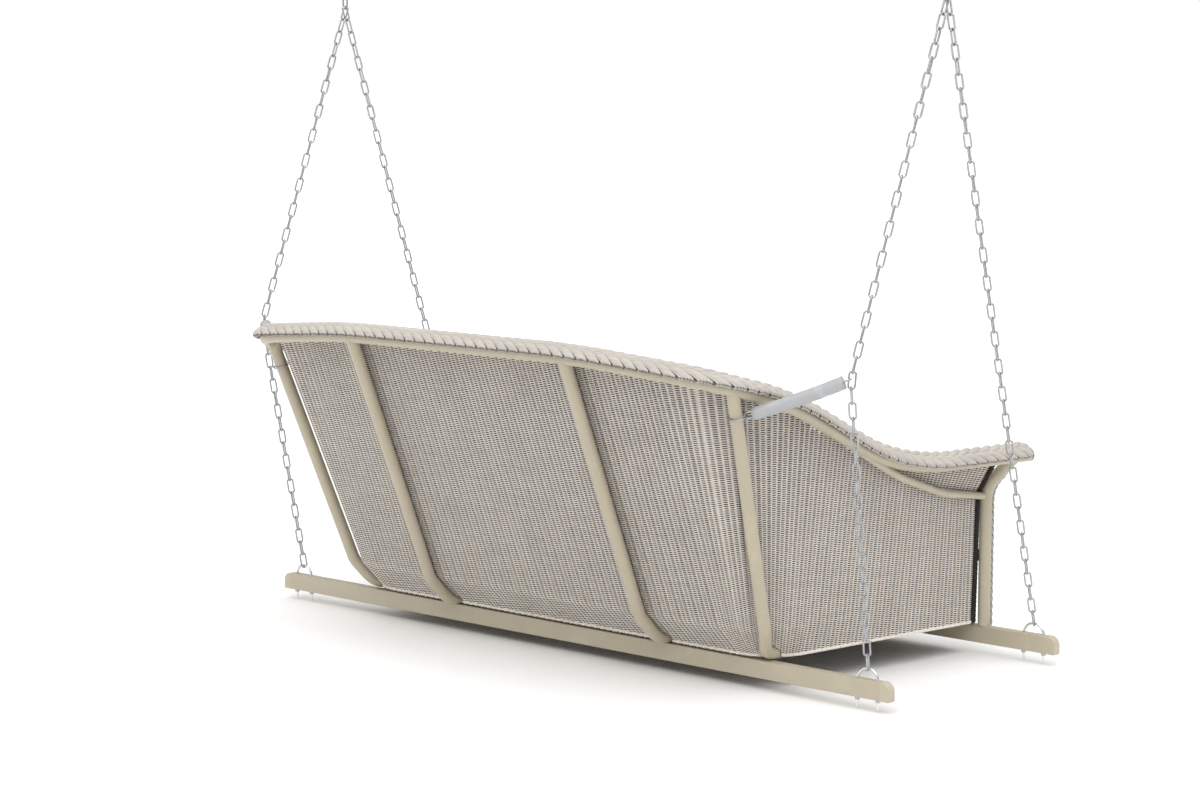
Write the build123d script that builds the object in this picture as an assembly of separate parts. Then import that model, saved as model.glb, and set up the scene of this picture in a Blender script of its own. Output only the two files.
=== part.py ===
"""Chain-hung loom-weave porch swing with a ceiling hook at each end.

Millimetres, +Z up. X runs along the seat, +Y is the back of the swing.
The design frame has X = 0 at the swing's middle, Y = 0 midway between the two
rails and Z = 0 at the rails' underside. Every piece is moved at the end so that
the origin is the bottom centre of the whole object's box.
"""
from build123d import *
import os
from math import atan2, cos, degrees, hypot, radians, sin, sqrt, tan

# ---------------------------------------------------------------- rails
RAIL_LENGTH = 2088.0
RAIL_SPACING = 692.0          # centre to centre, front to rear
RAIL_WIDTH = 25.4
RAIL_HEIGHT = 44.45
RAIL_WALL = 2.0
RAIL_CORNER_RADIUS = 2.5
RAIL_CAP_LENGTH = 24.0        # solid end of each rail, rounded at its top
RAIL_CAP_RADIUS = 22.0

# ---------------------------------------------------------------- U-bolts
U_BOLT_INSET = 68.0           # rail end to the U-bolt's centre
U_BOLT_WIRE = 6.35
U_BOLT_SPREAD = 59.0          # leg to leg
U_BOLT_RISE = 26.0            # rail top to the middle of the arch's wire
U_BOLT_TAIL = 26.0            # leg below the rail
NUT_WIDTH = 11.1              # across flats
NUT_HEIGHT = 5.6
WASHER_DIAMETER = 15.9
WASHER_THICKNESS = 1.6

# ---------------------------------------------------------------- tube frame
TUBE_DIAMETER = 31.75
TUBE_WALL = 1.65
BRACE_DIAMETER = 19.05
BRACE_WALL = 1.5
BACK_TOP_Y = 728.0
BACK_TOP_Z = 783.0
CROWN_HALF_LENGTH = 385.0     # straight level stretch of the back's top tube
BACK_CORNER = (775.0, 690.0, 750.0)
ARM_SHOULDER = (812.0, 448.0, 687.0)
ARM_DIP = (832.0, 34.0, 483.0)
ARM_TIP = (918.0, -397.0, 486.0)
TOP_TUBE_RADII = (1500.0, 120.0, 1000.0, 700.0)
BACK_POST_X = 364.0           # the two middle posts
BACK_POST_FOOT_Y = 385.0
BACK_POST_KNEE_Y = 455.0
CORNER_POST_FOOT = (677.0, 354.0)
CORNER_POST_KNEE = (712.0, 400.0)
CORNER_POST_AIM = (772.0, 605.0, 715.0)
POST_KNEE_Z = 127.0
POST_BEND_RADIUS = 60.0
FRONT_POST_X = 825.0
FRONT_POST_BEND_Z = 402.0
FRONT_POST_BEND_RADIUS = 90.0
BRACE_REAR_Y = 280.0          # where the brace runs into the arm tube
BRACE_REAR_DROP = 7.0         # below the arm tube's middle there
BRACE_BENDS = ((40.0, 473.0), (-150.0, 407.0))
BRACE_BEND_RADIUS = 600.0
BRACE_FRONT_Z = 377.0
KNEE_ABOVE_BRACE = 6.0        # where the side's weave turns outwards

# ---------------------------------------------------------------- seat
SEAT_TUBE_Z = 225.0
SEAT_REAR_TUBE_Y = 290.0
SEAT_REAR_TUBE_HALF = 700.0
STRAP_COUNT = 5
STRAP_SPACING = 300.0
STRAP_WIDTH = 25.0
STRAP_THICKNESS = 3.0
LEG_DIAMETER = 22.0

# ---------------------------------------------------------------- woven panels
WEAVE_THICKNESS = 6.0
WEAVE_BOTTOM_Z = 50.0
WEAVE_FOOT_Y = 352.0          # the back panel's lower edge
WEAVE_CORNER_X = 700.0        # where the back and side lines would meet
WEAVE_FRONT = (803.0, -322.0) # lower front corner of a side panel
WEAVE_CORNER_RADIUS = 110.0
WEAVE_WAIST_Z = 127.0
WEAVE_WAIST_SHARE = 0.23      # share of the lean taken up below the waist
WEAVE_STANDOFF = 6.0          # weave's outer face to the frame tubes
WEAVE_KNEE_SHARE = 0.85       # knee height on a panel that no brace shapes
PANEL_GAP = 0.8

# ---------------------------------------------------------------- braid
BRAID_HALF_WIDTH = 29.0
BRAID_TOP = 36.5              # above the tube's middle
BRAID_ROLL_BACK = 22.0        # degrees that the braid leans outwards
BRAID_ROLL_ARM = 34.0
BRAID_SPLIT_Y = 560.0         # where the back's braid ends and the arms' begin
BRAID_STEP = 40.0
BRAID_STEP_DEGREES = 6.0
POST_BRAID_HALF_WIDTH = 15.5
POST_BRAID_TOP = 25.0
POST_BRAID_TO_TUBE = 36.0     # from the braid's end to the arm tube's middle

# ---------------------------------------------------------------- chains
CHAIN_WIRE = 4.4
CHAIN_PITCH = 36.0
CHAIN_LINK_WIDTH = 20.0       # outside
APEX_X = 1018.0               # where each side's two chains meet
APEX_Y = 129.0
APEX_Z = 1608.0
DROP_LINKS = 2                # an even number of single links from the hook to the meeting point
HOOK_WIRE = 9.5
HOOK_BOWL_RADIUS = 15.0
HOOK_SHANK_LENGTH = 50.0      # threaded part in the ceiling joist
STAY_HOOP_Z = 667.0           # height of the hoop on the corner post
STAY_LINKS = 7
STAY_SWING = 31.0             # degrees forward of straight out to the side
STAY_RISE = 20.5              # degrees above level
SLEEVE_DIAMETER = 31.0
SLEEVE_WALL = 2.2
SLEEVE_LENGTH = 222.0

# ---------------------------------------------------------------- clearances
FIT = 0.3                     # between touching painted or woven pieces
HOLE_CLEARANCE = 0.4          # U-bolt leg to the hole's wall in the rail
THREAD_CLEARANCE = 0.03
LINK_GAP = 0.15
JOINT_SLACK = 0.45           # extra room where links meet at an angle
APEX_SLACK = 1.3              # the two end links turn freely on the link they share
LEG_TO_SPIGOT = 2.0

TUBE_RADIUS = TUBE_DIAMETER / 2
BRACE_RADIUS = BRACE_DIAMETER / 2
CHAIN_RADIUS = CHAIN_WIRE / 2
RAIL_Y = RAIL_SPACING / 2
U_BOLT_X = RAIL_LENGTH / 2 - U_BOLT_INSET
BEARER_Z = RAIL_HEIGHT + TUBE_RADIUS
BEARER_FRONT_Y = -RAIL_Y - RAIL_WIDTH / 2 + 6.0
LINK_RADIUS = (CHAIN_LINK_WIDTH - CHAIN_WIRE) / 2
RAIL_SPIGOT_LENGTH = (U_BOLT_INSET - U_BOLT_SPREAD / 2 - U_BOLT_WIRE / 2 - HOLE_CLEARANCE
                      - LEG_TO_SPIGOT - RAIL_CAP_LENGTH)


# ================================================================ helpers
def along(path, radius, wall=0.0):
    """A round rod or, with a wall, a tube along a path."""
    section = Circle(radius)
    if wall:
        section -= Circle(radius - wall)
    return sweep(Plane(origin=path @ 0, z_dir=path % 0) * section, path=path)


def mirrored(points):
    """The same points on the other side of the swing's middle plane."""
    return [(-x, y, z) for x, y, z in points]


def both_sides(name, solid):
    """Names a piece made on the +X side and its mirror image."""
    return {"left_" + name: solid, "right_" + name: mirror(solid, about=Plane.YZ)}


def unit(vector):
    return vector / vector.length


def half_top_points():
    """Corners of the top tube's line on the +X side, from the middle to the tip."""
    return [(CROWN_HALF_LENGTH, BACK_TOP_Y, BACK_TOP_Z), BACK_CORNER, ARM_SHOULDER, ARM_DIP, ARM_TIP]


def top_tube_path():
    half = half_top_points()
    radii = list(TOP_TUBE_RADII)
    return FilletPolyline(*mirrored(half)[::-1], *half, radius=radii[::-1] + radii)


TOP_PATH = top_tube_path()
TOP_SAMPLE_STEP = 3.0


def points_along(path, step):
    """Points and directions about one step apart, and at every joint of the path."""
    places = []
    for edge in path.edges():
        count = max(1, round(edge.length / step))
        first = 0 if not places else 1
        places += [(edge.position_at(i / count), edge.tangent_at(i / count)) for i in range(first, count + 1)]
    return places


TOP_HALF_LINE = [(p, t) for p, t in points_along(TOP_PATH, TOP_SAMPLE_STEP) if p.X >= -TOP_SAMPLE_STEP]


def tube_across(point, outward):
    """The top tube's middle and direction where the upright plane through a plan point meets it."""
    tangent = Vector(-outward.Y, outward.X, 0)
    ahead = [place for place in TOP_HALF_LINE if (place[0] - point).dot(outward) > 0]
    return min(ahead, key=lambda place: abs((place[0] - point).dot(tangent)))


def nearest_on_tube(start, aim):
    """The top tube's middle where a post's straight line comes closest to it."""
    direction = unit(aim - start)

    def distance(p):
        return (p - start).cross(direction).length

    return min((p for p, _ in TOP_HALF_LINE if p.Z > start.Z + TUBE_DIAMETER), key=distance)


TOP_ROD = along(TOP_PATH, TUBE_RADIUS + FIT / 2)


# ================================================================ rails
def rail(y):
    tube = Plane.YZ * RectangleRounded(RAIL_WIDTH, RAIL_HEIGHT, RAIL_CORNER_RADIUS)
    bore_radius = RAIL_CORNER_RADIUS - RAIL_WALL if RAIL_CORNER_RADIUS > RAIL_WALL else 0.1
    bore = Plane.YZ * RectangleRounded(RAIL_WIDTH - 2 * RAIL_WALL, RAIL_HEIGHT - 2 * RAIL_WALL, bore_radius)
    length = RAIL_LENGTH / 2 - RAIL_CAP_LENGTH
    body = extrude(tube - bore, amount=length, both=True)
    body = Pos(0, y, RAIL_HEIGHT / 2) * body
    for x in u_bolt_leg_places():
        body -= Pos(x, y, RAIL_HEIGHT / 2) * Cylinder(U_BOLT_WIRE / 2 + HOLE_CLEARANCE, RAIL_HEIGHT * 2)
    return body


def u_bolt_leg_places():
    return [side * U_BOLT_X + leg * U_BOLT_SPREAD / 2 for side in (-1, 1) for leg in (-1, 1)]


def rail_end_cap(side, y):
    """Solid plug that closes a rail, rounded at its top outer corner."""
    inner = RAIL_LENGTH / 2 - RAIL_CAP_LENGTH
    block = Pos(inner + RAIL_CAP_LENGTH / 2, 0, RAIL_HEIGHT / 2) * Box(RAIL_CAP_LENGTH, RAIL_WIDTH, RAIL_HEIGHT)
    top_corner = block.edges().filter_by(Axis.Y).sort_by(lambda e: e.center().X + e.center().Z)[-1]
    block = fillet(top_corner, min(RAIL_CAP_RADIUS, RAIL_CAP_LENGTH - 1))
    spigot_size = (RAIL_SPIGOT_LENGTH, RAIL_WIDTH - 2 * RAIL_WALL - FIT, RAIL_HEIGHT - 2 * RAIL_WALL - FIT)
    block += Pos(inner - RAIL_SPIGOT_LENGTH / 2, 0, RAIL_HEIGHT / 2) * Box(*spigot_size)
    block = Pos(0, y, 0) * block
    return block if side > 0 else mirror(block, about=Plane.YZ)


# ================================================================ U-bolts
def u_bolt_seats():
    return [(side * U_BOLT_X, y) for side in (-1, 1) for y in (-RAIL_Y, RAIL_Y)]


def u_bolt(x, y):
    half = U_BOLT_SPREAD / 2
    top = RAIL_HEIGHT + U_BOLT_RISE
    spring = top - half
    arch = ThreePointArc((x - half, y, spring), (x, y, top), (x + half, y, spring))
    first = Line((x - half, y, -U_BOLT_TAIL), (x - half, y, spring))
    last = Line((x + half, y, spring), (x + half, y, -U_BOLT_TAIL))
    return along(Wire([first, arch, last]), U_BOLT_WIRE / 2)


def under_rail(shape_of_leg):
    """One copy of a washer or nut at every U-bolt leg."""
    return [shape_of_leg(x, y) for y in (-RAIL_Y, RAIL_Y) for x in u_bolt_leg_places()]


def washer(x, y):
    ring = Circle(WASHER_DIAMETER / 2) - Circle(U_BOLT_WIRE / 2 + HOLE_CLEARANCE)
    return Pos(x, y, -WASHER_THICKNESS) * extrude(ring, amount=WASHER_THICKNESS)


def nut(x, y):
    hexagon = RegularPolygon(NUT_WIDTH / 2, 6, major_radius=False)
    section = hexagon - Circle(U_BOLT_WIRE / 2 + THREAD_CLEARANCE)
    return Pos(x, y, -WASHER_THICKNESS - NUT_HEIGHT) * extrude(section, amount=NUT_HEIGHT)


# ================================================================ tube frame
def post_path(foot, knee, top):
    front = Vector(foot[0], BEARER_FRONT_Y, BEARER_Z)
    heel = Vector(foot[0], foot[1], BEARER_Z)
    bend = Vector(knee[0], knee[1], POST_KNEE_Z)
    return FilletPolyline(front, heel, bend, top, radius=POST_BEND_RADIUS)


CORNER_KNEE = Vector(CORNER_POST_KNEE[0], CORNER_POST_KNEE[1], POST_KNEE_Z)
CORNER_TOP = nearest_on_tube(CORNER_KNEE, Vector(*CORNER_POST_AIM))
CORNER_POST_PATH = post_path(CORNER_POST_FOOT, CORNER_POST_KNEE, CORNER_TOP)
BACK_TOP = tube_across(Vector(BACK_POST_X, 0, 0), Vector(0, 1, 0))[0]
BACK_POST_PATH = post_path((BACK_POST_X, BACK_POST_FOOT_Y), (BACK_POST_X, BACK_POST_KNEE_Y), BACK_TOP)


def front_post_path():
    top = tube_across(Vector(0, -RAIL_Y, 0), Vector(1, 0, 0))[0]
    foot = Vector(FRONT_POST_X, -RAIL_Y, RAIL_HEIGHT)
    bend = Vector(FRONT_POST_X, -RAIL_Y, FRONT_POST_BEND_Z)
    return FilletPolyline(foot, bend, top, radius=FRONT_POST_BEND_RADIUS)


FRONT_POST_PATH = front_post_path()


def brace_points():
    rear = tube_across(Vector(0, BRACE_REAR_Y, 0), Vector(1, 0, 0))[0] - Vector(0, 0, BRACE_REAR_DROP)
    bends = [Vector(FRONT_POST_X, y, z) for y, z in BRACE_BENDS]
    front = Vector(FRONT_POST_X, -RAIL_Y, BRACE_FRONT_Z)
    return [rear] + bends + [front]


def brace():
    path = FilletPolyline(*brace_points(), radius=BRACE_BEND_RADIUS)
    whole = along(path, BRACE_RADIUS, BRACE_WALL)
    post = along(FRONT_POST_PATH, TUBE_RADIUS + FIT / 2)
    return largest(whole - TOP_ROD - post)


def largest(shape):
    """Keeps the main solid after a trim and drops what was cut off beyond it."""
    return max(shape.solids(), key=lambda s: s.volume)


def coped(path):
    """A hollow post whose upper end is cut to the top tube's round."""
    return largest(along(path, TUBE_RADIUS, TUBE_WALL) - TOP_ROD)


def top_plug():
    """Domed plug in the open end of each arm."""
    end = Plane(origin=TOP_PATH @ 1, z_dir=TOP_PATH % 1)
    head = extrude(end * Circle(TUBE_RADIUS), amount=3.0)
    spigot = extrude(end * Circle(TUBE_RADIUS - TUBE_WALL - FIT / 2), amount=-14.0)
    return head + spigot


# ================================================================ seat
def cross_tube(y, z, half):
    path = Line((-half, y, z), (half, y, z))
    return along(path, TUBE_RADIUS, TUBE_WALL)


def seat_leg(x):
    """Short upright from a bearer to the seat's rear tube."""
    path = Line((x, SEAT_REAR_TUBE_Y, BEARER_Z), (x, SEAT_REAR_TUBE_Y, SEAT_TUBE_Z))
    leg = along(path, LEG_DIAMETER / 2, TUBE_WALL)
    for y_axis_tube in (along(Line((x, 0, BEARER_Z), (x, 600, BEARER_Z)), TUBE_RADIUS + FIT / 2),
                        along(Line((x - 60, SEAT_REAR_TUBE_Y, SEAT_TUBE_Z), (x + 60, SEAT_REAR_TUBE_Y, SEAT_TUBE_Z)),
                              TUBE_RADIUS + FIT / 2)):
        leg = leg - y_axis_tube
    return largest(leg)


STRAP_BOTTOM = SEAT_TUBE_Z + TUBE_RADIUS + FIT / 2
DECK_BOTTOM = STRAP_BOTTOM + STRAP_THICKNESS + FIT


def strap(x):
    length = SEAT_REAR_TUBE_Y + RAIL_Y
    middle = (SEAT_REAR_TUBE_Y - RAIL_Y) / 2
    return Pos(x, middle, STRAP_BOTTOM + STRAP_THICKNESS / 2) * Box(STRAP_WIDTH, length, STRAP_THICKNESS)


# ================================================================ woven panels
WEAVE_OUTLINE = FilletPolyline((0, WEAVE_FOOT_Y), (WEAVE_CORNER_X, WEAVE_FOOT_Y), WEAVE_FRONT,
                               radius=WEAVE_CORNER_RADIUS)
OUTLINE_EDGES = WEAVE_OUTLINE.edges()
BACK_LINE, CORNER_ARC, SIDE_LINE = sorted(OUTLINE_EDGES, key=lambda e: -e.center().Y + (e.center().X > 500) * 50)


def brace_height(y):
    points = brace_points()
    for a, b in zip(points, points[1:]):
        if y >= b.Y or b is points[-1]:
            return a.Z + (b.Z - a.Z) * (y - a.Y) / (b.Y - a.Y)


def weave_profile(point, outward):
    """Foot, waist, knee and top of the woven wall in one upright plane."""
    tube, direction = tube_across(point, outward)
    foot = Vector(point.X, point.Y, WEAVE_BOTTOM_Z)
    facing = abs(direction.Y * outward.X - direction.X * outward.Y) / hypot(direction.X, direction.Y)
    reach = (tube - foot).dot(outward) - (TUBE_RADIUS + WEAVE_STANDOFF + WEAVE_THICKNESS / 2) / facing
    top = foot + outward * reach + Vector(0, 0, tube.Z + 2.0 - foot.Z)
    brace_gap = BRACE_RADIUS + FIT + WEAVE_THICKNESS / 2
    share = WEAVE_WAIST_SHARE
    waist = foot + outward * reach * share + Vector(0, 0, WEAVE_WAIST_Z - foot.Z)
    knee = waist + (top - waist) * WEAVE_KNEE_SHARE
    knee_z = brace_height(point.Y) + KNEE_ABOVE_BRACE
    if outward.X > 0.9 and point.Y < BRACE_REAR_Y and top.Z - knee_z > TUBE_DIAMETER:
        knee_reach = min(reach, (FRONT_POST_X - brace_gap - point.X) / outward.X)
        knee = foot + outward * knee_reach + Vector(0, 0, knee_z - foot.Z)
        waist = foot + (knee - foot) * (WEAVE_WAIST_Z - foot.Z) / (knee_z - foot.Z)
    half = outward * WEAVE_THICKNESS / 2
    line = [foot, waist, knee, top]
    return Wire.make_polygon([p + half for p in line] + [p - half for p in reversed(line)])


def woven_wall(places):
    """Lofts the woven wall through upright sections at plan places."""
    sections = [weave_profile(point, outward) for point, outward in places]
    return Solid.make_loft(sections, ruled=True)


def back_places(x_from, x_to, count):
    step = (x_to - x_from) / count
    return [(Vector(x_from + i * step, WEAVE_FOOT_Y, 0), Vector(0, 1, 0)) for i in range(count + 1)]


def edge_places(edge, start, end, count):
    """Points and outward directions along one edge of the plan outline."""
    places = []
    for i in range(count + 1):
        t = start + (end - start) * i / count
        tangent = edge.tangent_at(t)
        outward = Vector(-tangent.Y, tangent.X, 0)
        outward = outward if outward.dot(Vector(1, 1, 0)) > 0 else -outward
        places.append((edge.position_at(t), unit(outward)))
    return places


CORNER_START_X = WEAVE_CORNER_X - WEAVE_CORNER_RADIUS * tan(
    (radians(90) - atan2(WEAVE_FRONT[0] - WEAVE_CORNER_X, WEAVE_FOOT_Y - WEAVE_FRONT[1])) / 2)


def notched(panel, *paths):
    """Cuts a woven wall clear of the tubes that pass through its lower edge."""
    for path in paths:
        panel = panel - along(path, TUBE_RADIUS + FIT)
    return largest(panel)


def mirror_path(path):
    return mirror(path, about=Plane.YZ)


def back_centre_panel():
    half = BACK_POST_X - PANEL_GAP / 2
    wall = woven_wall(centre_places(half))
    return notched(wall, BACK_POST_PATH, mirror_path(BACK_POST_PATH))


def centre_places(half):
    """The middle panel's tube is straight and level, so two sections make it."""
    outward = Vector(0, 1, 0)
    return [(Vector(x, WEAVE_FOOT_Y, 0), outward) for x in (-half, half)]


def back_side_panel():
    places = back_places(BACK_POST_X + PANEL_GAP / 2, CORNER_START_X - 1, 3)
    corner = edge_places(CORNER_ARC, *arc_span(0.02, 0.30), 2)
    return notched(woven_wall(places + corner), BACK_POST_PATH, CORNER_POST_PATH)


def arc_span(start, end):
    """Fractions along the corner arc, counted from the back."""
    if CORNER_ARC.position_at(0).X < CORNER_ARC.position_at(1).X:
        return start, end
    return 1 - start, 1 - end


def side_span(start, end):
    """Fractions along the side line, counted from the back."""
    if SIDE_LINE.position_at(0).Y > SIDE_LINE.position_at(1).Y:
        return start, end
    return 1 - start, 1 - end


def side_panel():
    corner = edge_places(CORNER_ARC, *arc_span(0.305, 1.0), 6)
    side = edge_places(SIDE_LINE, *side_span(0.06, 1.0), 9)
    return notched(woven_wall(corner + side), CORNER_POST_PATH)


def seat_deck():
    """Woven seat, held 3 mm inside the walls all round."""
    half = [(FRONT_POST_X - 30, -RAIL_Y - TUBE_RADIUS - FIT - WEAVE_THICKNESS), (772, 0), (716, 300), (600, 440)]
    whole = [(-x, y) for x, y in half][::-1]
    outline = Polyline(*half, *whole, close=True)
    return Pos(0, 0, DECK_BOTTOM) * extrude(make_face(outline), amount=WEAVE_THICKNESS)


def front_apron():
    width = 2 * (FRONT_POST_X - TUBE_RADIUS - 4.0)
    height = DECK_BOTTOM - FIT - WEAVE_BOTTOM_Z
    y = -RAIL_Y - TUBE_RADIUS - FIT - WEAVE_THICKNESS / 2
    return Pos(0, y, WEAVE_BOTTOM_Z + height / 2) * Box(width, WEAVE_THICKNESS, height)


# ================================================================ braid
def braid_section(place, tangent, roll):
    """Crowned strip that lies over the tube, leaning outwards by the roll."""
    side = unit(tangent.cross(Vector(0, 0, 1)))
    side = side if side.dot(Vector(place.X * 0.4, place.Y, 0)) > 0 else -side
    up = unit(side.cross(tangent))
    up = up if up.Z > 0 else -up
    crown = up * cos(radians(roll)) + side * sin(radians(roll))
    across = side * cos(radians(roll)) - up * sin(radians(roll))
    seat = TUBE_RADIUS + FIT
    half, top = BRAID_HALF_WIDTH, BRAID_TOP
    upper = [(-half, 13), (-half * 0.9, top - 13), (-half * 0.5, top - 3.5), (0, top)]
    lower = [(half * 0.5, 12.5), (half * 0.27, seat * 0.95), (0, seat + 0.6)]
    outline = upper + [(-w, h) for w, h in reversed(upper[:-1])]
    outline += lower + [(-w, h) for w, h in reversed(lower[:-1])]
    return Wire.make_polygon([place + across * w + crown * h for w, h in outline])


def braid_places(path):
    """Places along a tube, close together on its tight corners."""
    places = []
    for edge in path.edges():
        turn = edge.tangent_at(0).get_angle(edge.tangent_at(1))
        count = max(1, round(turn / BRAID_STEP_DEGREES), round(edge.length / BRAID_STEP))
        first = 0 if not places else 1
        places += [(edge.position_at(i / count), edge.tangent_at(i / count)) for i in range(first, count + 1)]
    return places


def braid_roll(place):
    """The braid leans out further along the arms than across the back."""
    forward = (BRAID_SPLIT_Y - place.Y) / (BRAID_SPLIT_Y - ARM_DIP[1])
    return BRAID_ROLL_BACK + (BRAID_ROLL_ARM - BRAID_ROLL_BACK) * min(1.0, max(0.0, forward))


def braid(places):
    """Loft along some of the top tube's places."""
    sections = [braid_section(place, tangent, braid_roll(place)) for place, tangent in places]
    return Solid.make_loft(sections, ruled=True)


def back_braid():
    return braid([p for p in braid_places(TOP_PATH) if p[0].Y > BRAID_SPLIT_Y - BRAID_STEP / 2])


def arm_braid():
    places = [p for p in braid_places(TOP_PATH) if p[0].X > 0 and p[0].Y < BRAID_SPLIT_Y - BRAID_STEP / 2]
    return braid(places)


def post_braid():
    """Strip on the front of an arm's front post, ending under the arm."""
    sections = []
    crown = Vector(0, -1, 0)
    half, top, seat = POST_BRAID_HALF_WIDTH, POST_BRAID_TOP, TUBE_RADIUS + FIT
    front = [(-half, 8), (-half * 0.85, top - 5), (0, top), (half * 0.85, top - 5), (half, 8)]
    back = [(half * 0.72, seat * 0.8), (half * 0.35, seat * 0.97), (0, seat + 0.6)]
    back += [(-half * 0.35, seat * 0.97), (-half * 0.72, seat * 0.8)]
    top_z = FRONT_POST_PATH.position_at(1).Z - POST_BRAID_TO_TUBE
    places = [(p, t) for p, t in braid_places(FRONT_POST_PATH) if p.Z < top_z]
    for place, tangent in places:
        across = unit(tangent.cross(crown))
        lift = Vector(0, 0, FIT if place.Z < RAIL_HEIGHT + 1 else 0)
        sections.append(Wire.make_polygon([place + lift + across * w + crown * h for w, h in front + back]))
    return Solid.make_loft(sections, ruled=True)


# ================================================================ chains
def link(length):
    """One welded oval link in the XZ plane, long along Z; length is between end wire middles."""
    straight = length / 2 - LINK_RADIUS
    r = LINK_RADIUS
    right = Line((r, 0, -straight), (r, 0, straight))
    over = ThreePointArc((r, 0, straight), (0, 0, straight + r), (-r, 0, straight))
    left = Line((-r, 0, straight), (-r, 0, -straight))
    under = ThreePointArc((-r, 0, -straight), (0, 0, -straight - r), (r, 0, -straight))
    return along(Wire([right, over, left, under]), CHAIN_RADIUS)


def placed_link(shape, centre, axis, width):
    """Puts a link with its length along axis and its width along a direction."""
    across = unit(width - axis * width.dot(axis))
    return Plane(origin=centre, x_dir=across, z_dir=axis).location * shape


def turned(vector, axis, angle):
    return vector * cos(radians(angle)) + axis.cross(vector) * sin(radians(angle))


def chain(start, end, start_wire, end_wire, start_width, end_width, settle=6):
    """Links from one wire to another; each end link goes round its wire.

    start_wire and end_wire are the radii of the wires that the ends hang on, and the
    two widths are the directions across the first and the last link.
    """
    axis = unit(end - start)
    reach_start = start_wire + CHAIN_RADIUS + LINK_GAP
    reach_end = end_wire + CHAIN_RADIUS + LINK_GAP
    total = (end - start).length + reach_start + reach_end
    overlap = 2 * CHAIN_RADIUS + LINK_GAP
    count = max(1, round((total - overlap) / CHAIN_PITCH))
    pitch = (total - overlap) / count
    shape = link(pitch + overlap)
    first = unit(start_width - axis * start_width.dot(axis))
    last = unit(end_width - axis * end_width.dot(axis))
    turn = degrees(atan2(first.cross(last).dot(axis), first.dot(last)))
    twist = (turn - 90 * (count - 1) + 90) % 180 - 90
    origin = start - axis * reach_start
    links = []
    for i in range(count):
        centre = origin + axis * ((pitch + overlap) / 2 + i * pitch)
        angle = 90 * i + twist * min(1.0, i / min(settle, max(1, count - 1)))
        links.append(placed_link(shape, centre, axis, turned(first, axis, angle)))
    return links


LINK_LENGTH = CHAIN_PITCH + 2 * CHAIN_RADIUS + LINK_GAP
APEX = Vector(APEX_X, APEX_Y, APEX_Z)
HUNG_RADIUS = CHAIN_RADIUS + JOINT_SLACK
APEX_RADIUS = CHAIN_RADIUS + APEX_SLACK
LAST_LINK_WIDTH = Vector(0.4, 1, 0)
SIDE_BY_SIDE = CHAIN_RADIUS + 0.6
SIDE_LIFT = LINK_RADIUS - sqrt(LINK_RADIUS ** 2 - SIDE_BY_SIDE ** 2)
ARCH_TOP_Z = RAIL_HEIGHT + U_BOLT_RISE


def drop_chain():
    """Single links from the hook's bowl to the link that both chains hang on."""
    links = []
    bottom = APEX_Z
    for i in range(DROP_LINKS):
        centre = Vector(APEX_X, APEX_Y, bottom + LINK_LENGTH / 2)
        width = Vector(1, 0, 0) if i % 2 == 0 else Vector(0, 1, 0)
        links.append(placed_link(link(LINK_LENGTH), centre, Vector(0, 0, 1), width))
        bottom += CHAIN_PITCH
    return links


def drop_hook_z():
    """Middle of the hook's wire, inside the top link's upper end."""
    top_wire = APEX_Z + LINK_LENGTH + (DROP_LINKS - 1) * CHAIN_PITCH
    return top_wire - CHAIN_RADIUS - LINK_GAP - HOOK_WIRE / 2


def ceiling_hook():
    """Screw hook: threaded shank, collar and an open bowl that the top link hangs in."""
    z = drop_hook_z()
    r = HOOK_BOWL_RADIUS
    top = z + 4 * r + HOOK_SHANK_LENGTH
    # The bowl's wire runs across the swing direction where the link bears on it.
    bowl = FilletPolyline((APEX_X, APEX_Y, top), (APEX_X, APEX_Y, z + 2.6 * r), (APEX_X + r, APEX_Y, z + 1.9 * r),
                          (APEX_X + r, APEX_Y, z), (APEX_X - r, APEX_Y, z), (APEX_X - r, APEX_Y, z + 1.5 * r),
                          radius=[r * 0.8, r * 0.6, r * 0.95, r * 0.95])
    hook = along(bowl, HOOK_WIRE / 2)
    collar = Pos(APEX_X, APEX_Y, z + 4 * r - 2) * Cylinder(HOOK_WIRE, 4)
    return hook + collar


POST_DIRECTION = unit(CORNER_TOP - CORNER_KNEE)


def post_point(z):
    return CORNER_KNEE + POST_DIRECTION * ((z - CORNER_KNEE.Z) / POST_DIRECTION.Z)


STAY_DIRECTION = Vector(cos(radians(STAY_SWING)) * cos(radians(STAY_RISE)),
                        -sin(radians(STAY_SWING)) * cos(radians(STAY_RISE)), sin(radians(STAY_RISE)))
HOOP_CENTRE_LINE = TUBE_RADIUS + FIT + CHAIN_WIRE + CHAIN_RADIUS / 2
HOOP_SHIFT = HOOP_CENTRE_LINE - TUBE_RADIUS - FIT - CHAIN_RADIUS
HOOP_OUT = unit(STAY_DIRECTION - POST_DIRECTION * STAY_DIRECTION.dot(POST_DIRECTION))
HOOP_CENTRE = post_point(STAY_HOOP_Z) + HOOP_OUT * HOOP_SHIFT
HOOP_WIRE = HOOP_CENTRE + HOOP_OUT * HOOP_CENTRE_LINE
STAY_END = HOOP_WIRE + STAY_DIRECTION * (STAY_LINKS * CHAIN_PITCH - 2 * CHAIN_RADIUS)
REAR_U_BOLT_TOP = Vector(U_BOLT_X, RAIL_Y, ARCH_TOP_Z)
KINK_AXIS = unit(unit(APEX - STAY_END) + unit(STAY_END - REAR_U_BOLT_TOP))
KINK_OUT = unit(STAY_DIRECTION - KINK_AXIS * STAY_DIRECTION.dot(KINK_AXIS))
KINK = STAY_END + KINK_OUT * LINK_RADIUS
KINK_ACROSS = KINK_AXIS.cross(KINK_OUT)


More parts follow.
